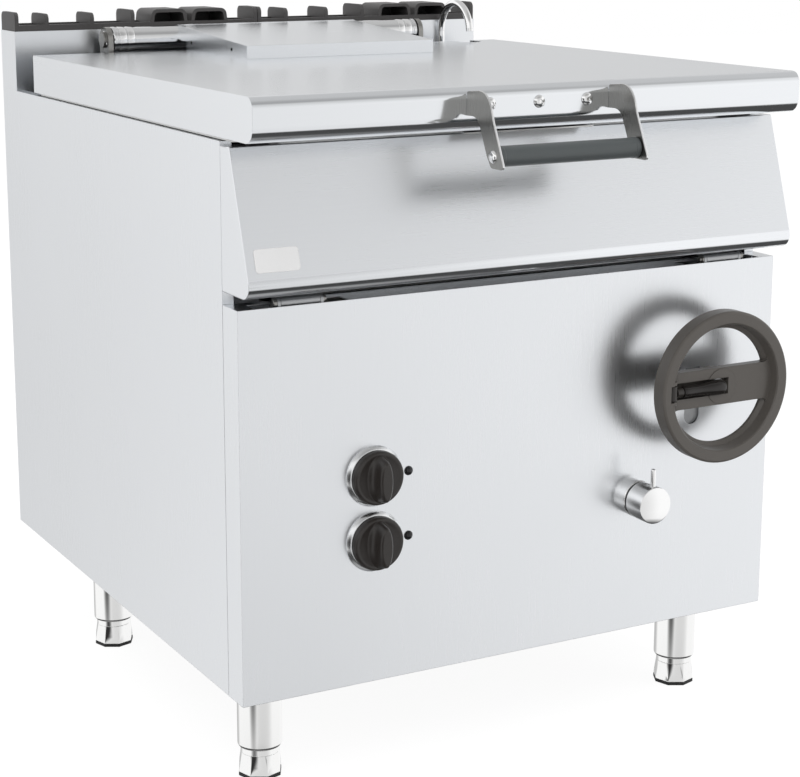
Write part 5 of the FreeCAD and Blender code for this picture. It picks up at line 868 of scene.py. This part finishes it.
@dataclass
class Controls:
    """The knobs, their rings and the lamps."""

    upper: float = 410.0
    lower: float = 325.5

    def build(self) -> None:
        """Builds both knobs, and their rings and lamps as sets."""
        rings = bmesh.new()
        lamps = bmesh.new()
        for knob in (ControlKnob("thermostat_knob", Body.THERMOSTAT, self.upper),
                     ControlKnob("gas_knob", Body.GAS, self.lower)):
            knob.moulding()
            join_into(rings, knob.bezel())
            join_into(lamps, knob.lamp())
        finish_piece("knob_ring_set", rings, Body.CASING, SPUN, ("knob_bezels",))
        finish_piece("lamp_set", lamps, Body.CASING, LAMP_BLACK, ("indicator_lamps",))


@dataclass
class Crank:
    """The folded crank of the handwheel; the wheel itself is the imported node.

    Attributes:
        pivot: Middle of the crank's pin.
        neck_start: Distance from the pin to the neck.
        grip_start: Distance from the pin to the grip.
    """

    pivot: Point = (188.0, -431.5, 481.0)
    neck_start: float = 5.8
    grip_start: float = 16.5

    def from_pin(self, distance: float) -> Point:
        """Returns the point of the spindle's axis at a distance from the pin."""
        x, y, z = self.pivot
        return (x + distance, y, z)

    def build(self) -> None:
        """Builds the folding stub and the waisted grip on its spindle."""
        eye = ((2.55, -10), (6.0, -10), (6.5, -9.5), (6.5, 9.5), (6.0, 10), (2.55, 10))
        neck = ((0, 0), (6.0, 0), (6.0, 9.5), (5.2, 10.2), (3.5, 10.2), (3.5, 74), (0, 74))
        grip = ((3.55, 0), (6.6, 0), (7.3, 1), (7.6, 4), (7.4, 12), (7.3, 20), (7.6, 30),
                (8.6, 38), (9.7, 47), (10.3, 55), (10.2, 61), (9.2, 65.4), (7.2, 67.8), (4.8, 69),
                (4.2, 67.6), (0, 67.2), (0, 65), (3.55, 65))
        stub = lathe(eye, self.pivot, Axis.Z, 32)
        join_into(stub, lathe(neck, self.from_pin(self.neck_start), Axis.X, 32))
        finish_piece("crank_stub", stub, Body.CRANK, KNOB_BLACK, ("crank_holder",))
        finish_piece("crank_sleeve_grip",
                     lathe(grip, self.from_pin(self.grip_start), Axis.X, 48), Body.SLEEVE,
                     SLEEVE_BLACK, ("crank_grip",))


@dataclass
class Tap:
    """The tap's turning cap with its short lever, and a black ring of painted shade in the gap
    behind it.
    """

    x: float = 178.0
    z: float = 326.0
    panel: float = -367.5
    radius: float = 25.0
    collar: float = 13.0
    gap: float = 3.6
    length: float = 49.0
    stem: float = 5.0
    stem_depth: float = 30.0
    lever_inset: float = 7.0

    def build(self) -> None:
        """Builds the turning cap and the black ring that paints the shade in the gap."""
        back = self.panel - self.collar - self.gap
        front = self.panel - self.length
        radius = self.radius
        stem_end = self.panel + self.stem_depth
        cap = ((0, front), (radius - 1.4, front), (radius - 0.4, front + 0.4),
               (radius, front + 1.4), (radius, back - 1.2), (radius - 1.2, back),
               (self.stem, back), (self.stem, stem_end), (0, stem_end))
        mesh = lathe(cap, (self.x, 0.0, self.z), Axis.Y, 96)
        lever = ((0, -3), (3.5, -3), (3.5, 21.5), (2.8, 23.4), (1.2, 24), (0, 24))
        foot = (self.x, front + self.lever_inset, self.z + radius)
        join_into(mesh, lathe(lever, foot, Axis.Z, 32))
        finish_piece("tap_cap_turning", mesh, Body.TAP, CHROME, ("tap_cap",))
        # Painted shade: a black ring fills the gap behind the cap, which is dark only because it
        # lies in shade.
        ring = ((self.stem, 0), (radius - 1.0, 0), (radius - 1.0, 3.2), (self.stem, 3.2))
        finish_piece("tap_gap_painted_shade_ring", lathe(ring, (self.x, back, self.z), Axis.Y, 96), Body.TAP,
                     LAMP_BLACK)


@dataclass
class Legs:
    """The four legs with their adjustable feet."""

    x: float = 331.7
    front_y: float = -266.5
    rear_y: float = 261.5
    radius: float = 29.0
    bore: float = 27.0
    tube_foot: float = 40.0
    tube_head: float = 137.5
    plate_half: float = 48.0
    plate: float = 4.0
    foot_radius: float = 25.0
    foot_top: float = 81.0
    flare_radius: float = 28.9
    flare_middle: float = 18.5
    flare_height: float = 27.0
    octagon: float = 26.5
    pad: float = 5.0
    foot_turn: float = math.radians(17.0)

    def build(self) -> None:
        """Builds the leg tubes and each foot with its pad."""
        spots = [(x, y) for y in (self.front_y, self.rear_y) for x in (-self.x, self.x)]
        height = self.tube_head - self.tube_foot
        wall = ((25.05, 0), (26.6, 0), (28.0, 0.8), (28.8, 2.2), (self.radius, 4.0),
                (self.radius, height), (self.bore, height), (self.bore, 8), (25.05, 8))
        tubes = bmesh.new()
        for x, y in spots:
            join_into(tubes, lathe(wall, (x, y, self.tube_foot), Axis.Z, 64))
            low = (x - self.plate_half, y - self.plate_half, self.tube_head)
            high = (x + self.plate_half, y + self.plate_half, self.tube_head + self.plate)
            join_into(tubes, block(low, high, 0.6))
        finish_piece("leg_set", tubes, Body.CASING, TUBE_CHROME, ("leg_tubes",))
        for (x, y), body in zip(spots, (Body.FOOT_FRONT_LEFT, Body.FOOT_FRONT_RIGHT,
                                        Body.FOOT_REAR_LEFT, Body.FOOT_REAR_RIGHT)):
            self.foot(x, y, body)

    def foot(self, x: float, y: float, body: Body) -> None:
        """Builds one foot: a round insert that flares to an eight-sided base, and its pad.

        Args:
            x: Place of the foot from left to right.
            y: Place of the foot from front to back.
            body: Body of the foot, named like its node.
        """
        radius, top = self.foot_radius, self.foot_top
        insert = ((0, top), (radius, top), (radius, 31.5), (0, 31.5))
        stem = ((0, top), (8, top), (8, 137.2), (0, 137.2))
        mesh = lathe(insert, (x, y, 0.0), Axis.Z, 64)
        flare = self.flare()
        move(flare, (x, y, self.flare_middle))
        join_into(mesh, flare)
        join_into(mesh, lathe(stem, (x, y, 0.0), Axis.Z, 24))
        finish_piece(body.value + "_insert", mesh, body, TUBE_CHROME, (body.value,))
        pad = bmesh.new()
        across = (self.octagon + 0.5) / math.cos(math.pi / 8) * MM
        bmesh.ops.create_cone(pad, cap_ends=True, segments=8, radius1=across, radius2=across,
                              depth=self.pad * MM)
        bmesh.ops.rotate(pad, cent=(0, 0, 0), verts=pad.verts,
                         matrix=Matrix.Rotation(math.pi / 8 + self.foot_turn, 3, "Z"))
        move(pad, (x, y, self.pad / 2))
        soften(pad, 0.6, 2)
        finish_piece(body.value + "_pad", pad, body, RUBBER)

    def flare(self) -> Mesh:
        """Returns a foot's flare: a cone that eight flats cut, at the frame's origin."""
        mesh = bmesh.new()
        bmesh.ops.create_cone(mesh, cap_ends=True, segments=96, radius1=self.flare_radius * MM,
                              radius2=self.foot_radius * MM, depth=self.flare_height * MM)
        for turn in range(8):
            angle = turn * math.pi / 4 + self.foot_turn
            way = Vector((math.cos(angle), math.sin(angle), 0.0))
            cut = bmesh.ops.bisect_plane(mesh, geom=[*mesh.verts, *mesh.edges, *mesh.faces],
                                         plane_co=way * self.octagon * MM, plane_no=way,
                                         clear_outer=True)
            bmesh.ops.edgeloop_fill(mesh, edges=only(Edge, cut["geom_cut"]))
        return mesh


@dataclass
class Spout:
    """The swan-neck water spout."""

    x: float = 333.0
    y: float = 419.0
    base: float = 720.0
    top: float = 902.2
    bend: float = 46.0
    radius: float = 6.0
    sweep: float = math.radians(172.0)
    outlet: float = 4.0
    lip: float = 1.1
    bore_depth: float = 14.0

    def build(self) -> None:
        """Builds the riser, the bend and the open outlet as one swept tube."""
        mesh = bmesh.new()
        bmesh.ops.create_circle(mesh, cap_ends=True, segments=32, radius=self.radius * MM)
        move(mesh, (self.x, self.y, self.base))
        top = push(mesh, list(mesh.faces), (0, 0, self.top - self.base), keep=True)
        spun = bmesh.ops.spin(mesh, geom=top, axis=(1, 0, 0), angle=self.sweep, steps=28,
                              cent=Vector((self.x, self.y - self.bend, self.top)) * MM,
                              use_merge=False, use_duplicate=False)
        way = Vector((0.0, -math.sin(self.sweep), math.cos(self.sweep)))
        mouth = push(mesh, only(Face, spun["geom_last"]), way * self.outlet)
        bmesh.ops.inset_region(mesh, faces=mouth, thickness=self.lip * MM, use_even_offset=True)
        push(mesh, mouth, way * -self.bore_depth)
        finish_piece("spout_tube", mesh, Body.CASING, CHROME, ("water_spout",))


# Studio


def direction(azimuth: float, elevation: float) -> Vector:
    """Returns the way from the unit towards a place round it.

    Args:
        azimuth: Turn from the front towards the right, in degrees.
        elevation: Height angle in degrees.
    """
    turn = math.radians(azimuth)
    rise = math.radians(elevation)
    return Vector((math.sin(turn) * math.cos(rise), -math.cos(turn) * math.cos(rise),
                   math.sin(rise)))


@dataclass(frozen=True)
class Flag:
    """A soft dark card of the studio, seen only in the shine of the metal.

    Attributes:
        azimuth: Its turn from the front towards the right. All angles are in degrees.
        elevation: Its height angle.
        core: Angle within which it is darkest.
        reach: Angle at which it ends.
        depth: How much it darkens at its middle.
    """

    azimuth: float
    elevation: float
    core: float
    reach: float
    depth: float

    def shade(self, tree: Tree, place: Socket) -> Socket:
        """Adds the nodes that give the card's share of light in each direction.

        Args:
            tree: Node tree of the world.
            place: Socket of the direction looked in.

        Returns:
            The socket of the share, one away from the card.
        """
        near = tree.nodes.new("ShaderNodeVectorMath")
        near.operation = "DOT_PRODUCT"
        feed(tree, near, {0: place, 1: direction(self.azimuth, self.elevation)})
        edges = (math.cos(math.radians(self.reach)), math.cos(math.radians(self.core)))
        return remap(tree, near.outputs["Value"], edges, (1.0, 1.0 - self.depth), "SMOOTHSTEP")


@dataclass(frozen=True)
class Softbox:
    """One square soft light: its name, place, edge length and power in watts."""

    name: str
    place: Point
    size: float
    power: float

    def hang(self, target: Vector) -> None:
        """Hangs the light, unseen in the metal.

        Args:
            target: Point that it faces, in metres.
        """
        data = bpy.data.lights.new(self.name, "AREA")
        data.size = self.size * MM
        data.energy = self.power
        light = bpy.data.objects.new(self.name, data)
        light.visible_glossy = False
        light.location = Vector(self.place) * MM
        light.rotation_euler = (target - light.location).to_track_quat("-Z", "Y").to_euler()
        bpy.context.scene.collection.objects.link(light)


@dataclass
class Studio:
    """The floor, the lights, the world and the camera.

    Angles are in degrees, the camera's distance and target in millimetres, and the lights'
    aim and the floor's half edge in metres. The level is the world's light for all but metal,
    and height_light gives what metal sees of it at each height.
    """

    azimuth: float = -28.317
    elevation: float = 12.037
    distance: float = 3022.04
    target: Point = (89.03, 203.08, 458.65)
    lens: float = 87.129
    sensor: float = 36.0
    shift: tuple[float, float] = (0.03285, -0.07526)
    aim: Point = (0.0, 0.0, 0.5)
    lights: Sequence[Softbox] = (
        Softbox("key_softbox", (-2600.0, -3000.0, 3600.0), 2600.0, 70.0),
        Softbox("fill_softbox", (3200.0, -2400.0, 2400.0), 2600.0, 40.0),
        Softbox("top_softbox", (0.0, 600.0, 4200.0), 3000.0, 60.0),
        Softbox("rear_softbox", (600.0, 3800.0, 2600.0), 2600.0, 25.0))
    flags: Sequence[Flag] = (
        Flag(-5.0, -20.6, 0.0, 49.0, 0.27), Flag(9.2, 40.3, 4.0, 46.0, 0.36),
        Flag(174.5, -14.1, 4.0, 38.6, 0.46), Flag(138.0, 18.5, 0.0, 27.2, 0.35),
        Flag(-58.0, -10.0, 6.0, 27.0, 0.97), Flag(6.0, -12.0, 1.0, 5.0, 0.5))
    height_light: Pairs = (
        (-1.0, 0.40), (1.0, 0.55), (-0.93, 0.33), (-0.85, 0.07), (-0.57, 0.07), (-0.50, 0.95),
        (-0.40, 1.0), (0.50, 1.0), (0.64, 0.60))
    level: float = 0.62
    floor_size: float = 12.0
    floor_grey: float = 0.90
    floor_glow: float = 1.1
    floor_white: float = 0.85

    def build(self) -> None:
        """Builds the whole studio."""
        self.camera()
        self.world()
        self.floor()
        for light in self.lights:
            light.hang(Vector(self.aim))
        bpy.context.scene.view_settings.view_transform = "Standard"

    def camera(self) -> None:
        """Sets the camera at the photograph's viewpoint."""
        back = direction(self.azimuth, self.elevation)
        data = bpy.data.cameras.new("photo_camera")
        data.lens = self.lens
        data.sensor_width = self.sensor
        data.shift_x, data.shift_y = self.shift
        data.clip_end = 50.0
        camera = bpy.data.objects.new("photo_camera", data)
        camera.location = (Vector(self.target) + back * self.distance) * MM
        camera.rotation_euler = (-back).to_track_quat("-Z", "Y").to_euler()
        bpy.context.scene.collection.objects.link(camera)
        bpy.context.scene.camera = camera

    def world(self) -> None:
        """Sets the world: white to the camera, shaded to metal, an even level otherwise."""
        world = bpy.data.worlds.new("studio_world")
        world.use_nodes = True
        tree = world.node_tree
        place = tree.nodes.new("ShaderNodeTexCoord").outputs["Generated"]
        share = self.heights(tree, place)
        for flag in self.flags:
            times = tree.nodes.new("ShaderNodeMath")
            times.operation = "MULTIPLY"
            feed(tree, times, {0: share, 1: flag.shade(tree, place)})
            share = times.outputs[0]
        ray = tree.nodes.new("ShaderNodeLightPath").outputs
        metal = self._choose(tree, ray["Is Glossy Ray"], self.level, share)
        clear = self._choose(tree, ray["Is Transmission Ray"], metal, 1.0)
        seen = self._choose(tree, ray["Is Camera Ray"], clear, 1.0)
        feed(tree, tree.nodes["Background"], {"Color": (1.0, 1.0, 1.0, 1.0), "Strength": seen})
        bpy.context.scene.world = world

    def heights(self, tree: Tree, place: Socket) -> Socket:
        """Adds the share of light at each height: a dark floor edge and a dimmer ceiling.

        Args:
            tree: Node tree of the world.
            place: Socket of the direction looked in.

        Returns:
            The socket of the share.
        """
        parts = tree.nodes.new("ShaderNodeSeparateXYZ")
        feed(tree, parts, {0: place})
        ramp = tree.nodes.new("ShaderNodeValToRGB")
        stops = ramp.color_ramp.elements
        for index, (height, light) in enumerate(self.height_light):
            position = 0.5 + height / 2
            stop = stops[index] if index < 2 else stops.new(position)
            stop.position = position
            stop.color = (light, light, light, 1.0)
        feed(tree, ramp, {"Fac": remap(tree, parts.outputs["Z"], (-1.0, 1.0))})
        return ramp.outputs["Color"]

    @staticmethod
    def _choose(tree: Tree, when: Socket, usual: float | Socket, other: float | Socket) -> Socket:
        """Adds a node that passes one value, or another for one kind of ray.

        Args:
            tree: Node tree of the world.
            when: Socket that is one for that kind of ray.
            usual: Value or socket for the other rays.
            other: Value or socket for that kind of ray.

        Returns:
            The socket of the chosen value.
        """
        mix = tree.nodes.new("ShaderNodeMix")
        mix.data_type = "FLOAT"
        feed(tree, mix, {"Factor": when, "A": usual, "B": other})
        return mix.outputs["Result"]

    def floor(self) -> None:
        """Lays the studio floor: white to the camera, with the unit's soft shadow."""
        mesh = bmesh.new()
        bmesh.ops.create_grid(mesh, x_segments=1, y_segments=1, size=self.floor_size)
        data = bpy.data.meshes.new("studio_floor")
        mesh.to_mesh(data)
        mesh.free()
        material = bpy.data.materials.new("studio_floor")
        material.use_nodes = True
        tree = material.node_tree
        shader = tree.nodes["Principled BSDF"]
        grey = self.floor_grey
        feed(tree, shader, {"Base Color": (grey, grey, grey, 1.0), "Roughness": 0.9,
                            "Specular IOR Level": 0.0})
        glow = tree.nodes.new("ShaderNodeEmission")
        feed(tree, glow, {"Strength": self.floor_glow})
        ray = tree.nodes.new("ShaderNodeLightPath").outputs
        share = tree.nodes.new("ShaderNodeMath")
        share.operation = "MULTIPLY"
        feed(tree, share, {0: ray["Is Camera Ray"], 1: self.floor_white})
        both = tree.nodes.new("ShaderNodeMixShader")
        feed(tree, both, {"Fac": share.outputs[0], 1: shader.outputs["BSDF"],
                          2: glow.outputs["Emission"]})
        feed(tree, tree.nodes["Material Output"], {"Surface": both.outputs["Shader"]})
        data.materials.append(material)
        floor = bpy.data.objects.new("studio_floor", data)
        floor.visible_glossy = False
        bpy.context.scene.collection.objects.link(floor)


def main() -> None:
    """Builds the studio and every piece."""
    logging.basicConfig(level=logging.INFO, format="%(message)s")
    dress_nodes()
    for part in (Studio(), Lid(), Apron(), Controls(), Crank(), Tap(), Legs(), Spout()):
        part.build()
        LOG.info("built %s", type(part).__name__)


if __name__ == "__main__":
    main()
